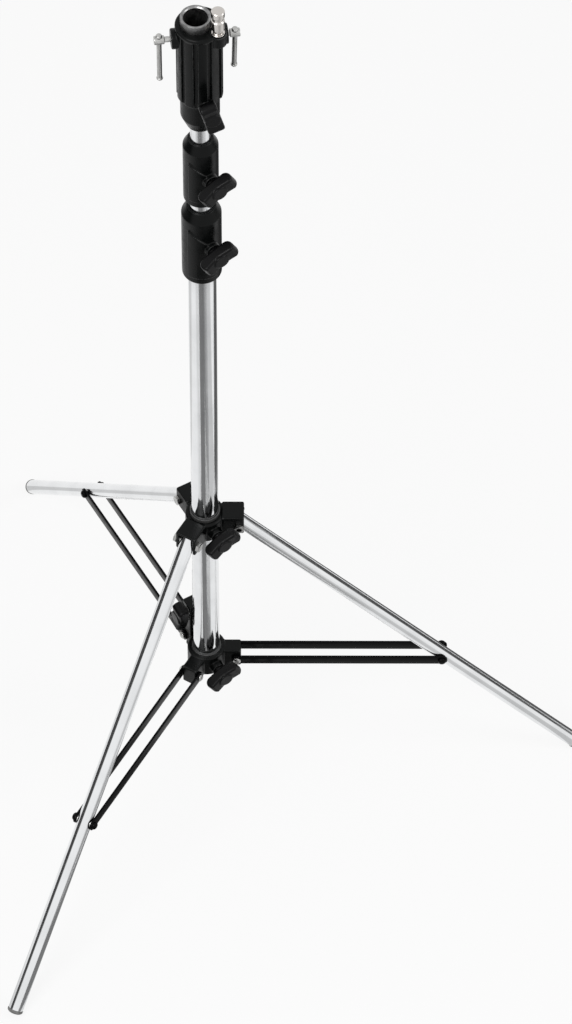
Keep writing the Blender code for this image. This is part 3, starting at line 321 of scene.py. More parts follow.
def rounded(piece, width, steps):
    """The piece with its sharp edges rounded."""
    bevel = piece.modifiers.new("edge", "BEVEL")
    bevel.width = width
    bevel.segments = steps
    bevel.angle_limit = math.radians(BEVEL_ANGLE)
    return settled(piece)


def as_cast(piece, grain=CAST_GRAIN, rounds=CAST_ROUNDS):
    """Give the piece the soft fillets of a casting or a moulding."""
    skin = piece.modifiers.new("skin", "REMESH")
    skin.mode = "VOXEL"
    skin.voxel_size = grain
    soften = piece.modifiers.new("soften", "SMOOTH")
    soften.factor = CAST_SOFTNESS
    soften.iterations = rounds
    return settled(piece)


def copied(piece, name):
    """A second piece with a mesh of its own."""
    double = bpy.data.objects.new(name, piece.data.copy())
    bpy.context.scene.collection.objects.link(double)
    return double


print("castings are skinned at", CAST_GRAIN * 1000, "mm")

# %% [markdown]
# ## A ring of copies with Geometry Nodes
#
# Flutes, bolts, pins and rivets repeat round an axis. Copying them by hand works, but a node
# tree says the rule once: points at equal angles, one copy on each, turned to face outwards.
# The tree's inputs are its sizes. Realize Instances makes the copies real faces, and Set
# Material ends it. The modifier is then turned into a plain mesh, so no live tree stays.

# %% Ring tree
def ring_tree():
    """Build the tree that sets copies of an object round Z."""
    tree = bpy.data.node_groups.new("ring_of_copies", "GeometryNodeTree")
    tree.interface.new_socket("Geometry", in_out="OUTPUT", socket_type="NodeSocketGeometry")
    wanted = [
        ("Copy", "NodeSocketObject"),
        ("Count", "NodeSocketInt"),
        ("Radius", "NodeSocketFloat"),
        ("First angle", "NodeSocketFloat"),
        ("Step angle", "NodeSocketFloat"),
        ("Finish", "NodeSocketMaterial"),
    ]
    for name, kind in wanted:
        tree.interface.new_socket(name, in_out="INPUT", socket_type=kind)
    nodes = tree.nodes
    link = tree.links.new
    given = nodes.new("NodeGroupInput")
    result = nodes.new("NodeGroupOutput")
    index = nodes.new("GeometryNodeInputIndex")
    angle = nodes.new("ShaderNodeMath")
    angle.operation = "MULTIPLY_ADD"
    link(index.outputs[0], angle.inputs[0])
    link(given.outputs["Step angle"], angle.inputs[1])
    link(given.outputs["First angle"], angle.inputs[2])
    spoke = nodes.new("ShaderNodeCombineXYZ")
    link(given.outputs["Radius"], spoke.inputs["X"])
    turned = nodes.new("ShaderNodeVectorRotate")
    turned.rotation_type = "Z_AXIS"
    link(spoke.outputs[0], turned.inputs["Vector"])
    link(angle.outputs[0], turned.inputs["Angle"])
    points = nodes.new("GeometryNodePoints")
    link(given.outputs["Count"], points.inputs["Count"])
    link(turned.outputs[0], points.inputs["Position"])
    facing = nodes.new("ShaderNodeCombineXYZ")
    link(angle.outputs[0], facing.inputs["Z"])
    source = nodes.new("GeometryNodeObjectInfo")
    link(given.outputs["Copy"], source.inputs["Object"])
    copies = nodes.new("GeometryNodeInstanceOnPoints")
    link(points.outputs[0], copies.inputs["Points"])
    link(source.outputs["Geometry"], copies.inputs["Instance"])
    link(facing.outputs[0], copies.inputs["Rotation"])
    real = nodes.new("GeometryNodeRealizeInstances")
    link(copies.outputs[0], real.inputs[0])
    finish = nodes.new("GeometryNodeSetMaterial")
    link(real.outputs[0], finish.inputs["Geometry"])
    link(given.outputs["Finish"], finish.inputs["Material"])
    link(finish.outputs[0], result.inputs["Geometry"])
    return tree


RING_TREE = ring_tree()


def ring_of(name, source, count, radius=0.0, first=0.0, step=0.0, finish=None):
    """Copies of the source round Z, as one plain mesh. The source is used up."""
    holder = bpy.data.objects.new(name, bpy.data.meshes.new(name))
    bpy.context.scene.collection.objects.link(holder)
    ring = holder.modifiers.new("ring", "NODES")
    ring.node_group = RING_TREE
    sockets = {item.name: item.identifier for item in RING_TREE.interface.items_tree}
    ring[sockets["Copy"]] = source
    ring[sockets["Count"]] = count
    ring[sockets["Radius"]] = radius
    ring[sockets["First angle"]] = math.radians(first)
    ring[sockets["Step angle"]] = math.radians(step)
    ring[sockets["Finish"]] = finish
    settled(holder)
    bpy.data.objects.remove(source)
    return holder


print("ring tree", len(RING_TREE.nodes), "nodes")

# %% [markdown]
# ## Finishes
#
# Each finish is a small node tree on the Principled shader. They share one plan. A fine noise
# gives the grain, through Bump. A broad noise moves the roughness, because handled metal is
# never evenly smooth. Paint has a mask for wear as well. Every pattern reads Object coordinates,
# which are metres here, so a noise scale of 1000 has grains of about a millimetre.

# %% Finish helpers
def shader_of(name):
    """A new material with its tree, its shader and its coordinates."""
    material = bpy.data.materials.new(name)
    material.use_nodes = True
    tree = material.node_tree
    shader = tree.nodes["Principled BSDF"]
    place = tree.nodes.new("ShaderNodeTexCoord")
    mapping = tree.nodes.new("ShaderNodeMapping")
    tree.links.new(place.outputs["Object"], mapping.inputs["Vector"])
    return material, tree, shader, mapping


def noise(tree, mapping, scale, detail=3.0):
    """A noise pattern on the piece, as a value from 0 to 1."""
    pattern = tree.nodes.new("ShaderNodeTexNoise")
    pattern.inputs["Scale"].default_value = scale
    pattern.inputs["Detail"].default_value = detail
    tree.links.new(mapping.outputs[0], pattern.inputs["Vector"])
    return pattern.outputs["Fac"]


def ranged(tree, value, low, high, start=0.35, end=0.65):
    """Stretch the middle of a pattern to run between two values."""
    limit = tree.nodes.new("ShaderNodeMapRange")
    for socket, number in zip(("From Min", "From Max", "To Min", "To Max"), (start, end, low, high)):
        limit.inputs[socket].default_value = number
    tree.links.new(value, limit.inputs["Value"])
    return limit.outputs["Result"]


def product(tree, first, second):
    """Two masks multiplied."""
    times = tree.nodes.new("ShaderNodeMath")
    times.operation = "MULTIPLY"
    times.use_clamp = True
    tree.links.new(first, times.inputs[0])
    tree.links.new(second, times.inputs[1])
    return times.outputs[0]


def blended(tree, mask, first, second):
    """A colour that runs from the first to the second with the mask."""
    mix = tree.nodes.new("ShaderNodeMix")
    mix.data_type = "RGBA"
    mix.inputs["A"].default_value = (*first, 1)
    mix.inputs["B"].default_value = (*second, 1)
    tree.links.new(mask, mix.inputs["Factor"])
    return mix.outputs["Result"]


def bumped(tree, shader, value, distance, strength):
    """Raise the surface by the pattern."""
    bump = tree.nodes.new("ShaderNodeBump")
    bump.inputs["Distance"].default_value = distance
    bump.inputs["Strength"].default_value = strength
    tree.links.new(value, bump.inputs["Height"])
    tree.links.new(bump.outputs[0], shader.inputs["Normal"])


def edge_mask(tree, start, end):
    """A mask that is 1 on raised edges, where paint rubs off first."""
    geometry = tree.nodes.new("ShaderNodeNewGeometry")
    return ranged(tree, geometry.outputs["Pointiness"], 0, 1, start, end)


print("finishes are built from grain, roughness and wear")

# %% [markdown]
# ## Chrome plate
#
# Chromed tube is drawn steel, polished and plated. It is a mirror with very faint lines along
# its length. The lines are a noise that is squeezed along the tube's axis. A leg leans, so its
# pattern is turned by the Mapping node until the lines run along the leg. Fingers leave broad
# smudges, a little darker and rougher than the clean plate.

# %% Chrome
DRAW_SQUEEZE = 0.02
LINE_SCALE = 2200
LINE_ROUGHNESS = (0.0, 0.03)
LINE_DEPTH = 0.00001
LINE_STRENGTH = 0.15
SMUDGE_SCALE = 22
SMUDGE_ROUGHNESS = (0.05, 0.13)
SMUDGE_LOSS = 0.07
COOLNESS = 0.01
LEG_SPREAD = 42.4
AZIMUTHS = {"right": 0.0, "front": -120.0, "level": 120.0}


def chrome(name, lean=0.0, azimuth=0.0, warm=0.0, light=0.83):
    """Plated tube or bar whose draw lines run along an axis leaning outwards from Z."""
    material, tree, shader, mapping = shader_of(name)
    back = (spin("Z", azimuth) @ spin("Y", -lean)).inverted()
    mapping.inputs["Rotation"].default_value = back.to_euler("XYZ")
    squeeze = tree.nodes.new("ShaderNodeMapping")
    squeeze.inputs["Scale"].default_value = (1, 1, DRAW_SQUEEZE)
    tree.links.new(mapping.outputs[0], squeeze.inputs["Vector"])
    lines = noise(tree, squeeze, LINE_SCALE, detail=2)
    smudges = noise(tree, mapping, SMUDGE_SCALE, detail=4)
    shader.inputs["Metallic"].default_value = 1
    clean = (light, light + COOLNESS - warm, light + 2 * COOLNESS - 2 * warm)
    handled = tuple(tone - SMUDGE_LOSS for tone in clean)
    tint = blended(tree, ranged(tree, smudges, 0, 1), clean, handled)
    tree.links.new(tint, shader.inputs["Base Color"])
    gloss = tree.nodes.new("ShaderNodeMath")
    gloss.operation = "ADD"
    tree.links.new(ranged(tree, smudges, *SMUDGE_ROUGHNESS), gloss.inputs[0])
    tree.links.new(ranged(tree, lines, *LINE_ROUGHNESS), gloss.inputs[1])
    tree.links.new(gloss.outputs[0], shader.inputs["Roughness"])
    bumped(tree, shader, lines, LINE_DEPTH, LINE_STRENGTH)
    return material


column_chrome = chrome("chrome_column")
leg_chrome = {}
for side, azimuth in AZIMUTHS.items():
    leg_chrome[side] = chrome("chrome_leg_" + side, LEG_SPREAD, azimuth)
stud_steel = chrome("chrome_stud", warm=0.035, light=0.6)
print("chrome for the column, the stud and", len(leg_chrome), "legs")

# %% [markdown]
# ## Painted castings and flat bars
#
# The castings are aluminium under satin black enamel. Enamel on a casting has an orange-peel
# grain, and it thins and rubs to grey on raised edges. Pointiness finds those edges from the
# mesh itself, and a noise breaks the wear up, because an even line of wear looks drawn on.
# The flat brace bars carry a glossier coat over rolled steel. Black only looks black when it
# mirrors little, so each paint has a low specular level, and shines where a lamp strikes it.

# %% Black paint
PATCH_SCALE = 90
PATCH_WEAR = (0.1, 1.0)
PEEL_STRENGTH = 0.35


def black_paint(name, colour, worn, rough, grain, depth, edges, shine):
    """Enamel with orange peel, uneven gloss and rubbed edges."""
    material, tree, shader, mapping = shader_of(name)
    patches = noise(tree, mapping, PATCH_SCALE, detail=4)
    rubbed = product(tree, edge_mask(tree, *edges), ranged(tree, patches, *PATCH_WEAR))
    tree.links.new(blended(tree, rubbed, colour, worn), shader.inputs["Base Color"])
    tree.links.new(ranged(tree, patches, *rough), shader.inputs["Roughness"])
    shader.inputs["Specular IOR Level"].default_value = shine
    bumped(tree, shader, noise(tree, mapping, grain), depth, PEEL_STRENGTH)
    return material


cast_black = black_paint(
    "cast_black_enamel",
    colour=(0.002, 0.0024, 0.0024),
    worn=(0.09, 0.093, 0.093),
    rough=(0.24, 0.38),
    grain=1100,
    depth=0.0002,
    edges=(0.52, 0.58),
    shine=0.12,
)
bar_black = black_paint(
    "bar_black_enamel",
    colour=(0.0015, 0.0015, 0.0018),
    worn=(0.05, 0.05, 0.05),
    rough=(0.2, 0.32),
    grain=2400,
    depth=0.00008,
    edges=(0.54, 0.62),
    shine=0.06,
)
knob_black = black_paint(
    "knob_black_plastic",
    colour=(0.002, 0.002, 0.0023),
    worn=(0.06, 0.06, 0.062),
    rough=(0.26, 0.4),
    grain=2600,
    depth=0.0001,
    edges=(0.52, 0.6),
    shine=0.13,
)
print("three blacks: casting, bar and knob")

# %% [markdown]
# ## Zinc, nylon, rubber and bored steel
#
# Screws and bolts are zinc plated: a dull silver with a fine crystal grain. The bushes are
# black nylon. The feet are grey moulded rubber, nearly matt, with dirt that darkens it in
# patches. The sleeve in the head is bored steel, darker than the tubes. One builder makes all
# four, from their numbers.

# %% Small parts' finishes
SPOT_SCALE = 160
GRAIN_STRENGTH = 0.3


def small_part(name, light, dark, rough, grain, depth, metal=0.0):
    """A grainy finish that varies between two tones."""
    material, tree, shader, mapping = shader_of(name)
    patches = noise(tree, mapping, SPOT_SCALE, detail=4)
    tone = blended(tree, ranged(tree, patches, 0, 1), light, dark)
    tree.links.new(tone, shader.inputs["Base Color"])
    tree.links.new(ranged(tree, patches, *rough), shader.inputs["Roughness"])
    shader.inputs["Metallic"].default_value = metal
    bumped(tree, shader, noise(tree, mapping, grain), depth, GRAIN_STRENGTH)
    return material


zinc = small_part(
    "zinc_plate",
    light=(0.52, 0.52, 0.51),
    dark=(0.4, 0.4, 0.39),
    rough=(0.26, 0.4),
    grain=1800,
    depth=0.00001,
    metal=1.0,
)
nylon = small_part(
    "nylon_dark",
    light=(0.05, 0.05, 0.05),
    dark=(0.03, 0.03, 0.03),
    rough=(0.4, 0.55),
    grain=1500,
    depth=0.0001,
)
rubber = small_part(
    "rubber_grey",
    light=(0.22, 0.22, 0.22),
    dark=(0.14, 0.14, 0.135),
    rough=(0.6, 0.8),
    grain=1300,
    depth=0.0002,
)
bored_steel = small_part(
    "bored_steel",
    light=(0.3, 0.3, 0.3),
    dark=(0.18, 0.18, 0.18),
    rough=(0.3, 0.45),
    grain=1800,
    depth=0.00005,
    metal=1.0,
)
print("four small finishes")

# %% [markdown]
# ## Finishing a piece
#
# Every piece ends the same way: it gets smooth shading with real edges kept sharp, its finish and
# the body that it rides on, and the nodes that it stands for are hidden. One helper does all of
# it, so that no piece misses a step. A skinned casting has soft edges only, so none is marked.

# %% Finish helpers
SHARP_ANGLE = 40.0
made = []


def finished(piece, body, slot, material, *nodes, sharp=SHARP_ANGLE):
    """Shade the piece, give it its finish, and hang it on its body."""
    mesh = piece.data
    mesh.materials.clear()
    mesh.materials.append(material)
    mesh.shade_smooth()
    if sharp:
        mesh.set_sharp_from_angle(angle=math.radians(sharp))
    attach(piece, body)
    if nodes:
        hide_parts(*nodes)
    made.append(piece.name)
    return piece


def triangles(piece):
    """How many triangles the piece has."""
    return sum(len(face.vertices) - 2 for face in piece.data.polygons)


def finished_casting(piece, body, node):
    """Finish a casting that stands for one node."""
    finished(piece, body, "cast_black", cast_black, node, sharp=None)
    print(node, triangles(piece), "triangles")


print("ready to build")

# %% [markdown]
# ## The column's three tubes
#
# Three tubes slide inside each other: 35, 30 and 25 mm across, with walls of 1.5 mm. They are
# the plainest lathe shapes of all, and a good first check that the finish and the frame agree.

# %% Tubes
GAP = 0.0003
WALL = 0.0015
MAIN_RADIUS = 0.0175
RISER_1_RADIUS = 0.015
RISER_2_RADIUS = 0.0125
MAIN_SPAN = (0.0043, 0.8793)
RISER_1_SPAN = (0.0498, 1.0078)
RISER_2_SPAN = (0.0748, 1.1668)
PLUG_DEPTH = 0.018
PLUG_FLANGE = 0.004
PLUG_EDGE = 0.001
TUBES = [
    ("column_tube", "column", "main_tube", MAIN_RADIUS, MAIN_SPAN),
    ("first_riser", "riser_1", "riser_1_tube", RISER_1_RADIUS, RISER_1_SPAN),
    ("second_riser", "riser_2", "riser_2_tube", RISER_2_RADIUS, RISER_2_SPAN),
]

for name, body, node, radius, span in TUBES:
    tube = pipe(name, radius, radius - WALL, *span)
    finished(tube, body, "chrome", column_chrome, node)
stem = MAIN_RADIUS - WALL - GAP
profile = [(0, PLUG_DEPTH), (stem, PLUG_DEPTH), (stem, PLUG_FLANGE)]
profile += [(MAIN_RADIUS, PLUG_FLANGE), (MAIN_RADIUS, 0), (0, 0)]
plug = lathe("column_end_plug", eased(profile, PLUG_EDGE))
finished(plug, "column", "bush_black", nylon, "main_tube_plug")
print("tubes", made)

# %% [markdown]
# ## The clamp collars
#
# Each collar is a turned casting with a coned shoulder, a raised pad with a slanted top edge
# round the clamp, and a boss for the screw. The pad is a plate bent round the collar: its
# outline is an arc, and a tilted block cuts the slant. Then the screw hole is drilled, and the
# whole is skinned as a casting.

# %% Collars
SCREW_RADIUS = 0.004
KNOB_AZIMUTH = -60.0
PAD_ARC = (-130.0, -36.0)
PAD_STEPS = 24
PAD_SLOPE = 41.0
PAD_BASE = 0.012
PAD_RISE = 0.013
PAD_PROUD = 0.002
BOSS_RADIUS = 0.0095
BOSS_PROUD = 0.006
BOSS_DROP = 0.044
COLLAR_LIP = 0.0025
COLLAR_EASE = 0.002
MAIN_COLLAR_BASE = 0.8233
MAIN_COLLAR_RADIUS = 0.0245
MAIN_COLLAR_HEIGHT = 0.111
RISER_COLLAR_BASE = 0.9628
RISER_COLLAR_RADIUS = 0.0215
RISER_COLLAR_HEIGHT = 0.0945
OUTWARDS = spin("Z", KNOB_AZIMUTH)


def slanted_pad(inside, outside, edge_height):
    """The raised pad of a collar, with its slanted top."""
    start, end = PAD_ARC
    outline = arc((0, 0), outside, start, end, PAD_STEPS)
    outline += arc((0, 0), inside, end, start, PAD_STEPS)
    tall = edge_height + outside * math.tan(math.radians(PAD_SLOPE)) - PAD_BASE
    pad = moved(plate("pad", outline, tall), shift(z=PAD_BASE + tall / 2))
    above = block("above", (0, -2 * tall, 0), (2 * outside, 2 * tall, 2 * tall))
    moved(above, spin("Z", (start + end) / 2) @ shift(z=edge_height) @ spin("X", -PAD_SLOPE))
    return drilled(pad, above)


def collar(name, base, radius, height, shoulder, seat, lower_tube, upper_tube):
    """A collar clamped to the lower tube, guiding the upper one."""
    wide = lower_tube + GAP
    narrow = upper_tube + GAP
    top = height + shoulder
    profile = [
        (narrow, top),
        (narrow + COLLAR_LIP, top),
        (radius, height),
        (radius, COLLAR_EASE),
        (radius - COLLAR_EASE, 0),
        (wide, 0),
        (wide, seat + GAP),
        (narrow, seat + GAP),
    ]
    body = lathe(name, profile, closed=True)
    screw_height = height - BOSS_DROP
    screw_line = shift(z=screw_height) @ OUTWARDS @ ALONG_X
    inside = narrow + (radius - narrow) / 2
    face = radius + BOSS_PROUD
    fused(body, slanted_pad(inside, radius + PAD_PROUD, screw_height + PAD_RISE))
    with_boss(body, BOSS_RADIUS, inside, face, screw_line)
    with_hole(body, SCREW_RADIUS + GAP, 0, face + PAST, screw_line)
    return moved(as_cast(body), shift(z=base))


piece = collar(
    "main_clamp_collar",
    base=MAIN_COLLAR_BASE,
    radius=MAIN_COLLAR_RADIUS,
    height=MAIN_COLLAR_HEIGHT,
    shoulder=0.013,
    seat=0.056,
    lower_tube=MAIN_RADIUS,
    upper_tube=RISER_1_RADIUS,
)
finished_casting(piece, "column", "main_collar")
piece = collar(
    "riser_clamp_collar",
    base=RISER_COLLAR_BASE,
    radius=RISER_COLLAR_RADIUS,
    height=RISER_COLLAR_HEIGHT,
    shoulder=0.012,
    seat=0.045,
    lower_tube=RISER_1_RADIUS,
    upper_tube=RISER_2_RADIUS,
)
finished_casting(piece, "riser_1", "riser_collar")

# %% [markdown]
# ## The head
#
# The head holds a lamp's spigot. Its lower part clamps the top riser, and its upper part is a
# barrel with ten flutes between ten ribs. The flutes repeat, so one cutter goes through the
# ring tree and the whole ring is cut out at once. A cutter's edges are rounded, so a flute has
# no sharp corner. Bosses take the two socket screws, the clamp screw and the stud.

# %% Head values
HEAD_BASE = 1.0968
HEAD_TOP = 0.1715
HEAD_EDGE = 0.0015
FLANGE_BASE = HEAD_TOP - 0.005
FLANGE_RADIUS = 0.0285
BARREL_RADIUS = 0.0275
BARREL_BASE = 0.053
HEAD_CLAMP_RADIUS = 0.0235
HEAD_CLAMP_TOP = 0.049
NECK_TOP = 0.018
NECK_RADIUS = 0.0165
RISER_DEPTH = 0.070
FLUTES = 10
FLUTE_WIDTH = 0.0052
FLUTE_DEPTH = 0.0035
FLUTE_EDGE = 0.0012
FLUTE_SPAN = (HEAD_CLAMP_TOP, FLANGE_BASE - HEAD_EDGE)
FIRST_RIB = -81.0
SOCKET_RADIUS = 0.0143
SLEEVE_RADIUS = 0.0183
SOCKET_SHIFT = 0.004
RIM = HEAD_TOP + 0.012
SOCKET_FLOOR = RIM - 0.060
SCREW_LINE = HEAD_TOP - 0.022
SCREW_AZIMUTHS = {"right": 8.0, "left": 188.0}
SCREW_BOSS_RADIUS = 0.0125
BOSS_FACES = {"right": 0.0375, "left": 0.0295}
STUD_RADIUS = 0.008
STUD_AZIMUTH = -27.0
STUD_BASE = HEAD_TOP - 0.016
HOLDER_WALL = 0.0025
HOLDER_BASE = HEAD_TOP - 0.018
STUD_SPOKE = SLEEVE_RADIUS + GAP + HOLDER_WALL + STUD_RADIUS
HEAD_SCREW_LINE = 0.0565
HEAD_KNOB_AZIMUTH = -72.0
HEAD_BOSS_RADIUS = 0.0085
HEAD_BOSS_FACE = BARREL_RADIUS + 0.005
print("head top at", HEAD_BASE + HEAD_TOP)


# %% Head shapes
def flute_cutters():
    """One rounded cutter, and a ring of them."""
    inner = BARREL_RADIUS - FLUTE_DEPTH
    low = (inner, -FLUTE_WIDTH / 2, FLUTE_SPAN[0])
    high = (FLANGE_RADIUS + 2 * PAST, FLUTE_WIDTH / 2, FLUTE_SPAN[1])
    step = 360 / FLUTES
    cutter = block("flute", low, high, FLUTE_EDGE)
    return ring_of("flutes", cutter, FLUTES, 0.0, FIRST_RIB + step / 2, step, cast_black)


def from_socket(azimuth, height):
    """The way outwards from the socket's axis."""
    return shift(x=-SOCKET_SHIFT) @ spin("Z", azimuth) @ shift(z=height) @ ALONG_X


def beside_socket():
    """The stud's place."""
    return shift(x=-SOCKET_SHIFT) @ spin("Z", STUD_AZIMUTH) @ shift(x=STUD_SPOKE)


def head_body():
    """The head's casting at its own height."""
    profile = [
        (0, HEAD_TOP),
        (FLANGE_RADIUS - HEAD_EDGE, HEAD_TOP),
        (FLANGE_RADIUS, HEAD_TOP - HEAD_EDGE),
        (FLANGE_RADIUS, FLANGE_BASE),
        (BARREL_RADIUS, FLANGE_BASE - HEAD_EDGE),
        (BARREL_RADIUS, BARREL_BASE),
        (HEAD_CLAMP_RADIUS, HEAD_CLAMP_TOP),
        (HEAD_CLAMP_RADIUS, NECK_TOP),
        (NECK_RADIUS, 0),
        (0, 0),
    ]
    body = drilled(lathe("head_body", profile), flute_cutters())
    lines = {side: from_socket(turn, SCREW_LINE) for side, turn in SCREW_AZIMUTHS.items()}
    for side, face in BOSS_FACES.items():
        with_boss(body, SCREW_BOSS_RADIUS, SLEEVE_RADIUS, face, lines[side], HEAD_EDGE)
    clamp_line = shift(z=HEAD_SCREW_LINE) @ spin("Z", HEAD_KNOB_AZIMUTH) @ ALONG_X
    with_boss(body, HEAD_BOSS_RADIUS, RISER_2_RADIUS + PAST, HEAD_BOSS_FACE, clamp_line)
    holder_top = HEAD_TOP - HEAD_EDGE
    with_boss(body, STUD_RADIUS + HOLDER_WALL, HOLDER_BASE, holder_top, beside_socket())
    above = HEAD_TOP + PAST
    with_hole(body, SLEEVE_RADIUS + GAP, SOCKET_FLOOR - GAP, above, shift(x=-SOCKET_SHIFT))
    with_hole(body, RISER_2_RADIUS + GAP, -PAST, RISER_DEPTH + GAP)
    with_hole(body, STUD_RADIUS + GAP, STUD_BASE - GAP, above, beside_socket())
    for side, face in BOSS_FACES.items():
        with_hole(body, SCREW_RADIUS + GAP, SOCKET_RADIUS, face + PAST, lines[side])
    with_hole(body, SCREW_RADIUS + GAP, 0, HEAD_BOSS_FACE + PAST, clamp_line)
    return moved(as_cast(body), shift(z=HEAD_BASE))


finished_casting(head_body(), "riser_2", "head_casting")

# %% [markdown]
# ## The socket's sleeve and the stud
#
# A steel sleeve lines the socket and shows as a bright rim round a dark bore. It is a lathe
# shape with a wider chamfer inside, drilled for the two screws. The stud beside it takes a
# light fitting: a plain pin with a neck below and a snap groove near its tip.

# %% Sleeve and stud
SLEEVE_CHAMFER = 0.0015
SLEEVE_EDGE = 0.0003
STUD_TOP = STUD_BASE + 0.0525
STUD_CHAMFER = 0.0012
STUD_EDGE = 0.0005
WAIST_RADIUS = 0.00575
WAIST_TOP = HEAD_TOP + 0.007
GROOVE_RADIUS = STUD_RADIUS - 0.0015
GROOVE_MOUTH = (STUD_TOP - 0.009, STUD_TOP - 0.016)
GROOVE_FLOOR = (STUD_TOP - 0.0105, STUD_TOP - 0.0145)

profile = [
    (SOCKET_RADIUS + SLEEVE_CHAMFER, RIM),
    (SLEEVE_RADIUS, RIM),
    (SLEEVE_RADIUS, SOCKET_FLOOR),
    (SOCKET_RADIUS, SOCKET_FLOOR),
    (SOCKET_RADIUS, RIM - SLEEVE_CHAMFER),
]
sleeve = lathe("socket_sleeve", eased(profile, SLEEVE_EDGE, True), closed=True)
for azimuth in SCREW_AZIMUTHS.values():
    line = spin("Z", azimuth) @ shift(z=SCREW_LINE) @ ALONG_X
    with_hole(sleeve, SCREW_RADIUS + GAP, SOCKET_RADIUS / 2, SLEEVE_RADIUS + PAST, line)
moved(sleeve, shift(x=-SOCKET_SHIFT, z=HEAD_BASE))
finished(sleeve, "riser_2", "chrome", bored_steel, "head_socket")
profile = [
    (0, STUD_TOP),
    (STUD_RADIUS - STUD_CHAMFER, STUD_TOP),
    (STUD_RADIUS, STUD_TOP - STUD_CHAMFER),
    (STUD_RADIUS, GROOVE_MOUTH[0]),
    (GROOVE_RADIUS, GROOVE_FLOOR[0]),
    (GROOVE_RADIUS, GROOVE_FLOOR[1]),
    (STUD_RADIUS, GROOVE_MOUTH[1]),
    (STUD_RADIUS, WAIST_TOP),
    (WAIST_RADIUS, WAIST_TOP),
    (WAIST_RADIUS, HEAD_TOP),
    (STUD_RADIUS, HEAD_TOP),
    (STUD_RADIUS, STUD_BASE),
    (0, STUD_BASE),
]
stud = lathe("side_stud", eased(profile, STUD_EDGE))
moved(stud, shift(z=HEAD_BASE) @ beside_socket())
finished(stud, "riser_2", "chrome", stud_steel, "head_stud")
print("sleeve and stud", triangles(sleeve), triangles(stud))

# %% [markdown]
# ## Socket screws and their sliding bars
#
# Each screw ends in a round eye with a cross hole, and a bar slides through it. The bar is
# kept in by a cap at each end, and it hangs from the upper cap. The screw's own frame has X
# outwards, and the bar is made in that frame, so that both follow the screw when it turns.

# %% Screws and bars
STANDOFFS = {"right": 0.0022, "left": 0.0075}
SCREW_ROLLS = {"right": 8.0, "left": 0.0}
SCREW_EDGE = 0.001
SCREW_NECK = 0.0035
THREAD_START = 0.003
EYE_RADIUS = 0.0053
EYE_LENGTH = 0.012
EYE_HOLE_HALF = 0.008
BAR_RADIUS = 0.003
BAR_LENGTH = 0.076
BAR_EDGE = 0.0005
CAP_RADIUS = 0.0039
CAP_EASE = 0.0015
CAP_HEIGHT = 0.003


def socket_screw(side):
    """A socket screw with its eye, and the bar through it."""
    face = BOSS_FACES[side]
    near = face + STANDOFFS[side]
    far = near + EYE_LENGTH
    eye = shift(x=near + EYE_LENGTH / 2)
    roll = spin("X", SCREW_ROLLS[side])
    middle = shift(-SOCKET_SHIFT, 0, HEAD_BASE + SCREW_LINE)
    axis = middle @ spin("Z", SCREW_AZIMUTHS[side]) @ roll
    profile = [
        (0, far),
        (EYE_RADIUS, far),
        (EYE_RADIUS, near),
        (SCREW_NECK, near),
        (SCREW_NECK, face - THREAD_START / 2),
        (SCREW_RADIUS, face - THREAD_START),
        (SCREW_RADIUS, SOCKET_RADIUS + GAP),
        (0, SOCKET_RADIUS + GAP),
    ]
    screw = lathe("bar_screw_" + side, eased(profile, SCREW_EDGE), SMALL_SIDES)
    moved(screw, ALONG_X)
    with_hole(screw, BAR_RADIUS + GAP, -EYE_HOLE_HALF, EYE_HOLE_HALF, eye)
    moved(screw, axis)
    finished(screw, "socket_screw_" + side, "zinc", zinc, "socket_screw_" + side)
    top = EYE_RADIUS + GAP + CAP_HEIGHT
    end = [
        (0, top),
        (BAR_RADIUS, top),
        (CAP_RADIUS, top - CAP_EASE),
        (CAP_RADIUS, top - CAP_HEIGHT),
        (BAR_RADIUS, top - CAP_HEIGHT),
    ]
    profile = mirrored(end, top - BAR_LENGTH / 2)
    bar = lathe("sliding_bar_" + side, eased(profile, BAR_EDGE), SMALL_SIDES)
    moved(bar, axis @ eye)
    finished(bar, "tommy_bar_" + side, "zinc", zinc, "tommy_bar_" + side)


for side in SCREW_AZIMUTHS:
    socket_screw(side)
print("screws and bars", made[-4:])

# %% [markdown]
# ## Wing knobs
#
# All six knobs are one moulding: a round hub with two full wings and round tips. The outline is
# half of a wing, mirrored. It is given its thickness, joined to the hub, drilled for the screw
# and skinned as a moulding. One mesh is made, and each knob takes a copy of it at its place,
# just off the face of the boss that it screws into.

# %% Knobs
HUB_RADIUS = 0.010
HUB_LENGTH = 0.016
HUB_PROUD = 0.0025
HUB_EDGE = 0.0012
KNOB_THICKNESS = 0.021
KNOB_BASE = 0.002
KNOB_EDGE = 0.003
KNOB_EDGE_STEPS = 4
KNOB_GRAIN = 0.0005
KNOB_ROUNDS = 5
WING_REACH = 0.024
WING_SWEEP = 0.003
WING_ROOT = 0.0015
TIP_RADIUS = 0.0085
TIP_ARC = (20, 190)
TIP_STEPS = 16
SEAT_DEPTH = 0.008
KNOB_GAP = 0.002
CLAMP_ROLL = 28
HEAD_ROLL = 104
LEVELLING_ROLL = 80
SPIDER_HEIGHT = 0.31938
PIN_HEIGHT = 0.024
RING_RADIUS = 0.0255
RING_BOSS_FACE = RING_RADIUS + 0.008
LUG = 0.0103
POST_SPOKE = 0.0308
SLIDER_SCREW = 0.061
level_side = spin("Z", AZIMUTHS["level"])


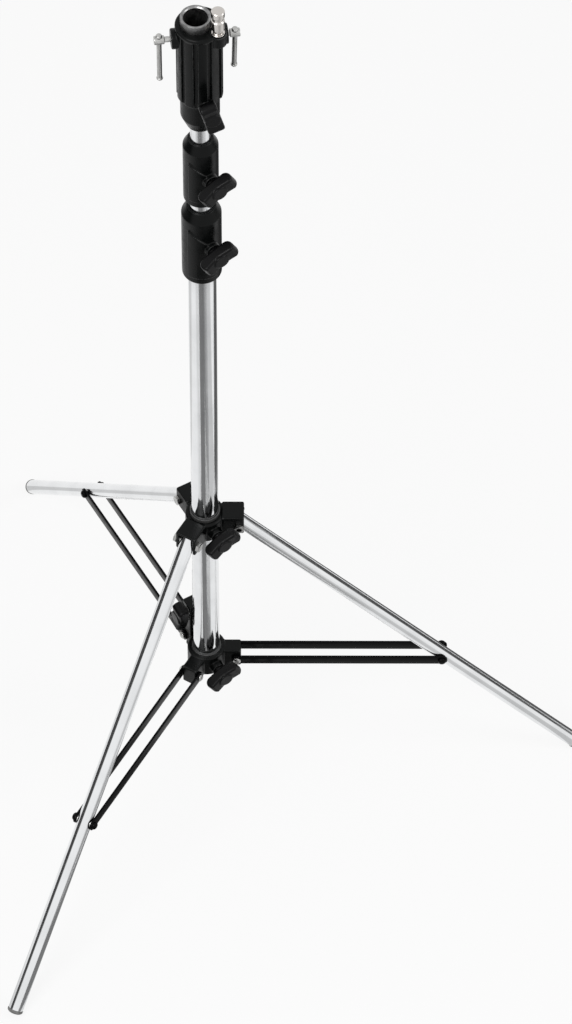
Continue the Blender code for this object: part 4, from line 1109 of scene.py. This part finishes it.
def knob_mould():
    """The knob with its outer side along X."""
    tip = (HUB_LENGTH / 2 + WING_SWEEP, WING_REACH - TIP_RADIUS)
    half = [(HUB_LENGTH, 0), (HUB_LENGTH + WING_ROOT, HUB_RADIUS)]
    half += arc(tip, TIP_RADIUS, *TIP_ARC, TIP_STEPS)
    half += [(KNOB_BASE, HUB_RADIUS), (KNOB_BASE, 0)]
    outline = half + [(x, -y) for x, y in reversed(half[1:-1])]
    knob = rounded(plate("knob", outline, KNOB_THICKNESS), KNOB_EDGE, KNOB_EDGE_STEPS)
    with_boss(knob, HUB_RADIUS, 0, HUB_LENGTH + HUB_PROUD, ALONG_X, HUB_EDGE)
    with_hole(knob, SCREW_RADIUS + GAP, -PAST, SEAT_DEPTH + GAP, ALONG_X)
    return as_cast(knob, KNOB_GRAIN, KNOB_ROUNDS)


def knob_place(azimuth, face, height, roll):
    """A knob's place just off a boss's face, at a height on the column."""
    angle = math.radians(azimuth)
    radius = face + KNOB_GAP
    place = shift(radius * math.cos(angle), radius * math.sin(angle), height)
    return place @ spin("Z", azimuth) @ spin("X", roll)


main_face = MAIN_COLLAR_RADIUS + BOSS_PROUD
main_line = MAIN_COLLAR_BASE + MAIN_COLLAR_HEIGHT - BOSS_DROP
riser_face = RISER_COLLAR_RADIUS + BOSS_PROUD
riser_line = RISER_COLLAR_BASE + RISER_COLLAR_HEIGHT - BOSS_DROP
head_line = HEAD_BASE + HEAD_SCREW_LINE
slider_spot = level_side @ shift(POST_SPOKE, LUG + KNOB_GAP, PIN_HEIGHT + SLIDER_SCREW)
KNOBS = {
    "main_collar_knob": knob_place(KNOB_AZIMUTH, main_face, main_line, CLAMP_ROLL),
    "riser_collar_knob": knob_place(KNOB_AZIMUTH, riser_face, riser_line, CLAMP_ROLL),
    "head_knob": knob_place(HEAD_KNOB_AZIMUTH, HEAD_BOSS_FACE, head_line, HEAD_ROLL),
    "spider_knob": knob_place(KNOB_AZIMUTH, RING_BOSS_FACE, SPIDER_HEIGHT, CLAMP_ROLL),
    "lower_collar_knob": knob_place(KNOB_AZIMUTH, RING_BOSS_FACE, PIN_HEIGHT, CLAMP_ROLL),
    "levelling_knob": slider_spot @ spin("Z", 90) @ spin("X", LEVELLING_ROLL),
}
mould = knob_mould()
for body, place in KNOBS.items():
    piece = moved(copied(mould, "wing_" + body), place)
    finished(piece, body, "knob_black", knob_black, body, sharp=None)
print("knob", triangles(mould), "triangles, made", len(KNOBS), "times")
bpy.data.objects.remove(mould)

# %% [markdown]
# ## The spider
#
# The spider slides on the column and carries the legs. It has three clevises, each of two
# cheeks with a web above, and a boss for its knob. Every arm is the same, so arms and slots are
# made alike and swung round. The casting rides on a nylon bush that stands a little proud.

# %% Spider
BUSH_RADIUS = 0.0196
BUSH_PROUD = 0.004
RING_HEIGHT = 0.034
RING_EASE = 0.002
RING_BOSS_RADIUS = 0.009
RING_BOSS_EDGE = 0.001
ROOT = BUSH_RADIUS + 0.002
LEG_RADIUS = 0.010
LEG_OVERHANG = 0.011
PIVOT_GAP = 0.0006
PIVOT_RADIUS = 0.044
CHEEK = 0.004
CHEEK_REACH = PIVOT_RADIUS + 0.0065
ARM_SPAN = (-0.013, 0.019)
ARM_EDGE = 0.002
WEB_BASE = 0.016


def hub(name, height):
    """The turned ring that lugs and arms grow from, still without its bore."""
    half = height / 2
    profile = [(0, half), (RING_RADIUS - RING_EASE, half), (RING_RADIUS, half - RING_EASE)]
    return lathe(name, mirrored(profile))


def bored(body, height):
    """The hub's knob boss, its bore and the boss's hole."""
    line = OUTWARDS @ ALONG_X
    half = height / 2 + PAST
    with_boss(body, RING_BOSS_RADIUS, ROOT, RING_BOSS_FACE, line, RING_BOSS_EDGE)
    with_hole(body, BUSH_RADIUS + GAP, -half, half)
    return with_hole(body, SCREW_RADIUS + GAP, MAIN_RADIUS, RING_BOSS_FACE + PAST, line)


def across(azimuth, spoke):
    """A line across an arm, at a distance from the column's axis."""
    return spin("Z", azimuth) @ shift(x=spoke) @ ALONG_Y


def spider():
    """The upper casting at the legs' pivot height."""
    slot_half = LEG_RADIUS + PIVOT_GAP
    width = slot_half + CHEEK
    inner = PIVOT_RADIUS - math.hypot(LEG_OVERHANG, LEG_RADIUS) - PIVOT_GAP
    low, high = ARM_SPAN
    body = hub("spider_body", RING_HEIGHT)
    slots = []
    for azimuth in AZIMUTHS.values():
        arm = block("arm", (ROOT, -width, low), (CHEEK_REACH, width, high), ARM_EDGE)
        fused(body, moved(arm, spin("Z", azimuth)))
        outer = (CHEEK_REACH + PAST, slot_half, WEB_BASE)
        slot = block("slot", (inner, -slot_half, low - PAST), outer)
        slots.append(moved(slot, spin("Z", azimuth)))
    drilled(body, *slots)
    bored(body, RING_HEIGHT)
    for azimuth in AZIMUTHS.values():
        line = across(azimuth, PIVOT_RADIUS)
        with_hole(body, SCREW_RADIUS + GAP, -width - PAST, width + PAST, line)
    return moved(as_cast(body), shift(z=SPIDER_HEIGHT))


finished_casting(spider(), "spider", "spider_casting")
low = SPIDER_HEIGHT - RING_HEIGHT / 2 - BUSH_PROUD
high = SPIDER_HEIGHT + RING_HEIGHT / 2 + BUSH_PROUD
ring = pipe("spider_slide_ring", BUSH_RADIUS, MAIN_RADIUS + GAP, low, high)
finished(ring, "spider", "bush_black", nylon, "spider_bush")

# %% [markdown]
# ## Leg bolts
#
# Three bolts with hexagon heads hold the legs. A real head is a hexagon with its corners turned
# off at 30 degrees: here a six-sided rod that is cut by a cone's skin. One bolt is made, and the
# ring tree sets it in all three clevises as one mesh, because all three ride on the spider.

# %% Bolts
HEX_CORNER = 0.0070
HEX_HEIGHT = 0.004
CONE_TOP_RADIUS = 0.0058
CONE_RADIUS = 0.0072
CONE_DROP = 0.0008


def hexagon(low, turn):
    """A hexagon head with its outer corners turned off, above the face or turned below it."""
    flat = [(0, HEX_HEIGHT), (HEX_CORNER, HEX_HEIGHT), (HEX_CORNER, 0), (0, 0)]
    cone = [(0, HEX_HEIGHT), (CONE_TOP_RADIUS, HEX_HEIGHT)]
    cone += [(CONE_RADIUS, HEX_HEIGHT - CONE_DROP), (CONE_RADIUS, 0), (0, 0)]
    head = lathe("hex", flat, 6)
    combined(head, [lathe("cone", cone, SMALL_SIDES)], "INTERSECT")
    return moved(head, spin("X", turn) @ shift(z=low))


def leg_bolt():
    """One bolt with its head and its nut, lying along Y."""
    face = LEG_RADIUS + PIVOT_GAP + CHEEK + GAP
    end = face + HEX_HEIGHT
    shank = rod("bolt", SCREW_RADIUS, -end, end)
    return moved(fused(shank, hexagon(face, 0), hexagon(face, 180)), ALONG_Y)


bolts = ring_of("leg_bolts", leg_bolt(), 3, PIVOT_RADIUS, 0, 120, zinc)
moved(bolts, shift(z=SPIDER_HEIGHT))
finished(bolts, "spider", "zinc", zinc, *["leg_bolt_" + side for side in AZIMUTHS])
print("leg bolts", triangles(bolts), "triangles")

# %% [markdown]
# ## The lower collar and its post
#
# The lower casting carries the braces. Two lugs take the plain braces, and the third side has
# a foot with an upright post for the levelling slider. It clamps with a knob of its own.

# %% Lower casting
PIN_RADIUS = 0.0405
PIN_HOLE = 0.0033
PLAIN_SIDES = ("right", "front")
LOWER_HEIGHT = 0.036
LUG_END = PIN_RADIUS + 0.0055
LUG_HALF_HEIGHT = 0.016
FOOT_END = POST_SPOKE + 0.0075
FOOT_HEIGHT = 0.007
FOOT_EDGE = 0.001
POST_RADIUS = 0.003
POST_SEAT = 0.009
SLIDER_DROP = 0.0095
SLIDER_TOP = 0.082 - SLIDER_DROP
TRAVEL = 0.075


def lower_casting():
    """The lower collar at its pins' height."""
    half = LOWER_HEIGHT / 2
    body = hub("lower_body", LOWER_HEIGHT)
    for side in PLAIN_SIDES:
        high = (LUG_END, LUG, LUG_HALF_HEIGHT)
        lug = block("lug", (ROOT, -LUG, -LUG_HALF_HEIGHT), high, ARM_EDGE)
        fused(body, moved(lug, spin("Z", AZIMUTHS[side])))
    foot = block("foot", (ROOT, -LUG, -half), (FOOT_END, LUG, FOOT_HEIGHT - half), FOOT_EDGE)
    fused(body, moved(foot, level_side))
    bored(body, LOWER_HEIGHT)
    for side in PLAIN_SIDES:
        line = across(AZIMUTHS[side], PIN_RADIUS)
        with_hole(body, PIN_HOLE, -LUG - PAST, LUG + PAST, line)
    post_line = level_side @ shift(x=POST_SPOKE)
    with_hole(body, POST_RADIUS + GAP, -half - PAST, POST_SEAT - half, post_line)
    return moved(as_cast(body), shift(z=PIN_HEIGHT))


finished_casting(lower_casting(), "lower_collar", "lower_collar")
post = rod("slider_post", POST_RADIUS, -LOWER_HEIGHT / 2, SLIDER_TOP + TRAVEL)
moved(post, shift(z=PIN_HEIGHT) @ level_side @ shift(x=POST_SPOKE))
finished(post, "lower_collar", "zinc", zinc, "levelling_post")

# %% [markdown]
# ## The levelling slider
#
# The third brace can be raised to level the stand on a slope. Its pin sits in a block that
# slides on the post, clamped by a knob at its side. The pin's hole is a short slot, because
# the brace tilts a little as the block rises.

# %% Slider
SLIDER_BACK = 0.0262
SLIDER_EDGE = 0.001
SLIDER_GRAIN = 0.0006
SLIDER_ROUNDS = 4
SLOT_EXTRA = 0.00252
SLOT_STEPS = 12


def slider():
    """The levelling block at its rest height."""
    low = (SLIDER_BACK, -LUG, -SLIDER_DROP)
    body = block("slider_block", low, (LUG_END, LUG, SLIDER_TOP), SLIDER_EDGE)
    post_line = shift(x=POST_SPOKE)
    with_hole(body, POST_RADIUS + GAP, -SLIDER_DROP - PAST, SLIDER_TOP + PAST, post_line)
    outline = arc((0, 0), PIN_HOLE, -90, 90, SLOT_STEPS)
    outline += arc((-SLOT_EXTRA, 0), PIN_HOLE, 90, 270, SLOT_STEPS)
    slot = plate("slot", outline, 2 * (LUG + PAST))
    drilled(body, moved(slot, shift(x=PIN_RADIUS) @ ALONG_Y))
    screw_line = shift(x=POST_SPOKE, z=SLIDER_SCREW) @ spin("Z", 90) @ ALONG_X
    with_hole(body, SCREW_RADIUS + GAP, 0, LUG + PAST, screw_line)
    as_cast(body, SLIDER_GRAIN, SLIDER_ROUNDS)
    return moved(body, shift(z=PIN_HEIGHT) @ level_side)


finished_casting(slider(), "levelling_slider", "levelling_slider")

# %% [markdown]
# ## Legs, bushes and feet
#
# A leg is a 20 mm tube that leans outwards by 42.4 degrees. It is made straight down Z from its
# pivot and then put in place by one matrix: lean, swing to its side, move to the pivot. The
# cross holes for the bolt and for the braces are drilled before that, while it is upright.

# %% Legs
LEG_LENGTH = 0.675
BRACE_DROP = 0.400
BRACE_BUSH = 0.005
FOOT_CAP = 0.005
FOOT_STEM = 0.018
FOOT_PROUD = 0.0004
CAP_ROUND = 0.002
CAP_EDGE = 0.0008


def leg_place(side):
    """From a leg's own frame to its place."""
    swing = spin("Z", AZIMUTHS[side])
    return shift(z=SPIDER_HEIGHT) @ swing @ shift(x=PIVOT_RADIUS) @ spin("Y", -LEG_SPREAD)


def leg(side):
    """One leg's tube, the bush for its braces and its foot."""
    place = leg_place(side)
    body = "leg_" + side
    reach = LEG_RADIUS + PAST
    brace_line = shift(z=-BRACE_DROP) @ ALONG_Y
    inner = LEG_RADIUS - WALL
    tube = pipe("leg_pipe_" + side, LEG_RADIUS, inner, -LEG_LENGTH, LEG_OVERHANG)
    with_hole(tube, SCREW_RADIUS + GAP, -reach, reach, ALONG_Y)
    with_hole(tube, BRACE_BUSH + GAP, -reach, reach, brace_line)
    finished(moved(tube, place), body, "chrome", leg_chrome[side], "leg_%s_tube" % side)
    bush = moved(rod("cross_bush_" + side, BRACE_BUSH, -LUG, LUG), place @ brace_line)
    finished(bush, body, "zinc", zinc, "brace_bush_" + side)
    stem = inner - GAP
    cap = LEG_RADIUS + FOOT_PROUD
    top = -LEG_LENGTH - GAP
    low = top - FOOT_CAP
    profile = [(0, top + FOOT_STEM), (stem, top + FOOT_STEM), (stem, top), (cap, top)]
    profile += [(cap, low + CAP_ROUND), (cap - CAP_ROUND, low), (0, low)]
    foot = moved(lathe("foot_" + side, eased(profile, CAP_EDGE)), place)
    finished(foot, body, "foot_grey", rubber, "leg_foot_" + side)


for side in AZIMUTHS:
    leg(side)
print("legs", made[-9:])

# %% [markdown]
# ## Braces
#
# Each leg is held by two flat bars with round ends. A bar is a long plate whose edges are eased,
# with a rivet head at its outer end. The two rivets of a pair face away from each other, which
# is a ring of two with half a turn between them. The pins at the inner ends are made the same
# way: two of them ride on the lower collar, and the third rides alone.

# %% Braces
BRACE_LENGTH = PIVOT_RADIUS + BRACE_DROP * math.sin(math.radians(LEG_SPREAD)) - PIN_RADIUS
BAR_HALF_HEIGHT = 0.0075
BAR_THICKNESS = 0.003
BAR_OFFSET = LEG_RADIUS + PIVOT_GAP + BAR_THICKNESS / 2
BAR_FACE = BAR_OFFSET + BAR_THICKNESS / 2
BAR_STEPS = 24
BAR_ROUND = 0.0005
BAR_ROUND_STEPS = 3
RIVET_RADIUS = 0.0055
RIVET_HEIGHT = 0.0045
RIVET_TOP_SHARE = 0.6
RIVET_TOP_DROP = 0.0004
RIVET_SIDE_SHARE = 0.95
RIVET_SIDE_HEIGHT = 0.003
RIVET_EDGE = 0.0008
RIVET_SIDES = 40
PIN_SIZE = 0.003
PIN_HEAD = 0.0052
PIN_EDGE = 0.0004


def brace_place(side):
    """From a brace's own frame to its place."""
    return shift(z=PIN_HEIGHT) @ spin("Z", AZIMUTHS[side]) @ shift(x=PIN_RADIUS)


def bar(sign):
    """One bar of a pair, with its inner hole."""
    outline = arc((0, 0), BAR_HALF_HEIGHT, 90, 270, BAR_STEPS)
    outline += arc((BRACE_LENGTH, 0), BAR_HALF_HEIGHT, -90, 90, BAR_STEPS)
    strip = rounded(plate("bar", outline, BAR_THICKNESS), BAR_ROUND, BAR_ROUND_STEPS)
    with_hole(strip, PIN_HOLE, -BAR_THICKNESS, BAR_THICKNESS)
    return moved(strip, shift(y=sign * BAR_OFFSET) @ ALONG_Y)


def rivet():
    """A domed rivet head, facing along Y from the bar."""
    base = BAR_FACE - BAR_ROUND
    top = BAR_FACE + RIVET_HEIGHT
    profile = [(0, top), (RIVET_RADIUS * RIVET_TOP_SHARE, top - RIVET_TOP_DROP)]
    profile += [(RIVET_RADIUS * RIVET_SIDE_SHARE, base + RIVET_SIDE_HEIGHT)]
    profile += [(RIVET_RADIUS, base), (0, base)]
    return moved(lathe("rivet", eased(profile, RIVET_EDGE), RIVET_SIDES), ALONG_Y)


def pin():
    """A pin with a low head at each end, along Y."""
    face = BAR_FACE + GAP
    end = face + PIN_SIZE
    half = [(0, end), (PIN_SIZE, end), (PIN_HEAD, face + PIN_SIZE / 2)]
    half += [(PIN_HEAD, face), (PIN_SIZE, face)]
    return moved(lathe("pin", eased(mirrored(half), PIN_EDGE), RIVET_SIDES), ALONG_Y)


for side in AZIMUTHS:
    body = "braces_" + side
    sheet = bmesh.new()
    for sign in (1, -1):
        strip = bar(sign)
        sheet.from_mesh(strip.data)
        bpy.data.objects.remove(strip)
    bars = moved(new_piece("brace_bars_" + side, sheet), brace_place(side))
    nodes = ["brace_%s_bar_%s" % (side, letter) for letter in "ab"]
    finished(bars, body, "bar_black", bar_black, *nodes)
    rivets = ring_of("brace_rivets_" + side, rivet(), 2, 0, 0, 180, bar_black)
    moved(rivets, brace_place(side) @ shift(x=BRACE_LENGTH))
    finished(rivets, body, "bar_black", bar_black)
pins = ring_of("fixed_brace_pins", pin(), 2, PIN_RADIUS, 0, -120, zinc)
moved(pins, shift(z=PIN_HEIGHT))
finished(pins, "lower_collar", "zinc", zinc, *["brace_pin_" + side for side in PLAIN_SIDES])
pins = ring_of("levelling_brace_pin", pin(), 1, PIN_RADIUS, 120, 0, zinc)
moved(pins, shift(z=PIN_HEIGHT))
finished(pins, "brace_pin_level", "zinc", zinc, "brace_pin_level")
print("braces", round(BRACE_LENGTH * 1000, 1), "mm long")

# %% [markdown]
# ## Nodes that stay as they are
#
# The riser bushes, the lower bush and the clamp screws sit inside other parts. Their packed
# shapes are right and hardly seen, so they keep them, and only get a better finish.

# %% Kept nodes
BUSHED = ("riser_1", "riser_2", "lower_collar")
CLAMPED = ("main_collar", "riser_collar", "head", "spider", "lower_collar", "levelling")
KEPT = {name + "_bush": nylon for name in BUSHED}
KEPT.update({name + "_screw": zinc for name in CLAMPED})
for node, finish in KEPT.items():
    for material_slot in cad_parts[node].material_slots:
        material_slot.material = finish
print("kept nodes", len(KEPT))

# %% [markdown]
# ## Floor
#
# The photograph has a white ground. The floor is a pale diffuse surface, and what the camera and
# the mirrors see of it is lifted towards white by the light path, while the light on the stand
# stays the same. Chrome has no look of its own: it shows what is round it. On an empty white
# stage it would vanish, so dark cards follow, as a photographer would put them.

# %% Stage
FLOOR_SIZE = 14.0
FLOOR_COLOUR = (0.8, 0.8, 0.8, 1)
WHITE_SHARE = 0.86
ground = CAD_BOX[0][2]


def seen_mask(tree):
    """1 for the camera and for what mirrors and glass show, otherwise 0."""
    path = tree.nodes.new("ShaderNodeLightPath")
    total = path.outputs["Is Camera Ray"]
    for name in ("Is Glossy Ray", "Is Transmission Ray"):
        either = tree.nodes.new("ShaderNodeMath")
        either.operation = "MAXIMUM"
        tree.links.new(total, either.inputs[0])
        tree.links.new(path.outputs[name], either.inputs[1])
        total = either.outputs[0]
    return total


def floor():
    """A wide pale floor under the feet."""
    sheet = bmesh.new()
    bmesh.ops.create_grid(sheet, x_segments=1, y_segments=1, size=FLOOR_SIZE / 2)
    plane = moved(new_piece("floor", sheet), shift(z=ground))
    material = bpy.data.materials.new("floor_paper")
    material.use_nodes = True
    tree = material.node_tree
    tree.nodes.clear()
    paper = tree.nodes.new("ShaderNodeBsdfDiffuse")
    paper.inputs["Color"].default_value = FLOOR_COLOUR
    white = tree.nodes.new("ShaderNodeEmission")
    share = tree.nodes.new("ShaderNodeMath")
    share.operation = "MULTIPLY"
    share.inputs[1].default_value = WHITE_SHARE
    tree.links.new(seen_mask(tree), share.inputs[0])
    mix = tree.nodes.new("ShaderNodeMixShader")
    tree.links.new(share.outputs[0], mix.inputs["Fac"])
    tree.links.new(paper.outputs[0], mix.inputs[1])
    tree.links.new(white.outputs[0], mix.inputs[2])
    output = tree.nodes.new("ShaderNodeOutputMaterial")
    tree.links.new(mix.outputs[0], output.inputs["Surface"])
    plane.data.materials.append(material)


floor()
print("ground at", round(ground, 4))

# %% [markdown]
# ## Dark cards for the chrome
#
# A tube mirrors a narrow fan of directions, so what gives it its dark streaks lies in a fan too.
# Four fans of dark paper lie on the floor, and two boards stand at the sides. A fan's darkness
# is a value on its points, so that it fades out at both sides and the streaks have soft edges.
# Only mirrors see the cards: the camera, the shadows and the soft light pass through them.

# %% Cards
CARD_COLOUR = (0.02, 0.02, 0.02, 1)
CARD_LIFT = 0.002
BOARD_DISTANCE = 3.2
FOOT_CIRCLE = 0.499


def card_paper():
    """Dark paper that is as clear as the shade value on its points says."""
    material = bpy.data.materials.new("card_paper")
    material.use_nodes = True
    tree = material.node_tree
    tree.nodes.clear()
    shade = tree.nodes.new("ShaderNodeAttribute")
    shade.attribute_name = "shade"
    dark = tree.nodes.new("ShaderNodeBsdfDiffuse")
    dark.inputs["Color"].default_value = CARD_COLOUR
    clear = tree.nodes.new("ShaderNodeBsdfTransparent")
    mix = tree.nodes.new("ShaderNodeMixShader")
    tree.links.new(shade.outputs["Fac"], mix.inputs["Fac"])
    tree.links.new(clear.outputs[0], mix.inputs[1])
    tree.links.new(dark.outputs[0], mix.inputs[2])
    output = tree.nodes.new("ShaderNodeOutputMaterial")
    tree.links.new(mix.outputs[0], output.inputs["Surface"])
    return material


PAPER = card_paper()


def card(name, pairs, shades):
    """A card through pairs of points, with a shade for each pair."""
    sheet = bmesh.new()
    layer = sheet.verts.layers.float.new("shade")
    edges = []
    for pair, shade in zip(pairs, shades):
        verts = [sheet.verts.new(point) for point in pair]
        for vert in verts:
            vert[layer] = shade
        edges.append(verts)
    for (low, high), (next_low, next_high) in zip(edges, edges[1:]):
        sheet.faces.new((low, high, next_high, next_low))
    board = new_piece(name, sheet)
    board.data.materials.append(PAPER)
    board.visible_camera = False
    board.visible_diffuse = False
    board.visible_shadow = False


def fan(name, centre, near, far, azimuths, shade):
    """A fan on the floor through four azimuths, clear at the two outer ones."""
    level = ground + CARD_LIFT
    pairs = []
    for azimuth in azimuths:
        way = Vector((math.cos(math.radians(azimuth)), math.sin(math.radians(azimuth))))
        pairs.append([(*(Vector(centre) + way * radius), level) for radius in (near, far)])
    card(name, pairs, (0, shade, shade, 0))


def side_board(name, x, stops, height):
    """An upright board at one side, from (y, shade) stops."""
    pairs = [[(x, y, ground), (x, y, ground + height)] for y, _ in stops]
    card(name, pairs, [shade for _, shade in stops])


right_foot = (FOOT_CIRCLE, 0)
back_angle = math.radians(AZIMUTHS["level"])
back_foot = (FOOT_CIRCLE * math.cos(back_angle), FOOT_CIRCLE * math.sin(back_angle))
fan("card_front", (0, 0), near=0.03, far=1.3, azimuths=(-150, -116, -82, -50), shade=0.78)
fan("card_right_back", right_foot, near=0.01, far=1.6, azimuths=(12, 35, 100, 122), shade=0.9)
fan("card_right_front", right_foot, near=0.01, far=1.5, azimuths=(-150, -122, -75, -50), shade=0.35)
fan("card_left_back", back_foot, near=0.01, far=0.8, azimuths=(140, 160, 195, 215), shade=0.3)
right_stops = [(-0.5, 0), (0.0, 0.93), (2.6, 0.93), (3.2, 0.6)]
left_stops = [(-2.8, 0), (-2.0, 0.95), (1.4, 0.95), (2.0, 0)]
side_board("card_right", BOARD_DISTANCE, right_stops, height=0.85)
side_board("card_left", -BOARD_DISTANCE, left_stops, height=2.0)
print("six cards")

# %% [markdown]
# ## World and lamps
#
# The world gives soft light from all sides. A broad lamp at the left and a weaker one at the
# right shape it. The level is plain: a colour renders about as it is written.

# %% World and lamps
WORLD_LEVEL = 0.55
world = bpy.data.worlds.new("studio")
bpy.context.scene.world = world
world.use_nodes = True
tree = world.node_tree
sky = tree.nodes["Background"]
sky.inputs["Color"].default_value = (1, 1, 1, 1)
level = tree.nodes.new("ShaderNodeMapRange")
level.inputs["To Min"].default_value = WORLD_LEVEL
level.inputs["To Max"].default_value = 1.0
tree.links.new(seen_mask(tree), level.inputs["Value"])
tree.links.new(level.outputs["Result"], sky.inputs["Strength"])


def lamp(name, place, aim, width, watts):
    """A square soft lamp that points at a spot."""
    light = bpy.data.lights.new(name, "AREA")
    light.size = width
    light.energy = watts
    holder = bpy.data.objects.new(name, light)
    way = Vector(aim) - Vector(place)
    holder.matrix_world = Matrix.Translation(place) @ way.to_track_quat("-Z", "Y").to_matrix().to_4x4()
    bpy.context.scene.collection.objects.link(holder)


lamp("broad_lamp", place=(-1.6, -2.2, 3.4), aim=(0, 0, 0.5), width=1.8, watts=70)
lamp("side_lamp", place=(2.6, -0.6, 2.2), aim=(0, 0, 0.6), width=1.0, watts=22)
bpy.context.scene.view_settings.view_transform = "Standard"
print("world level", WORLD_LEVEL)

# %% [markdown]
#
# The dressed model has to stay inside the imported one's box. The last line counts the pieces
# that were made and their triangles.

# %% Finish
total = sum(triangles(bpy.data.objects[name]) for name in made)
print(len(made), "pieces", total, "triangles")
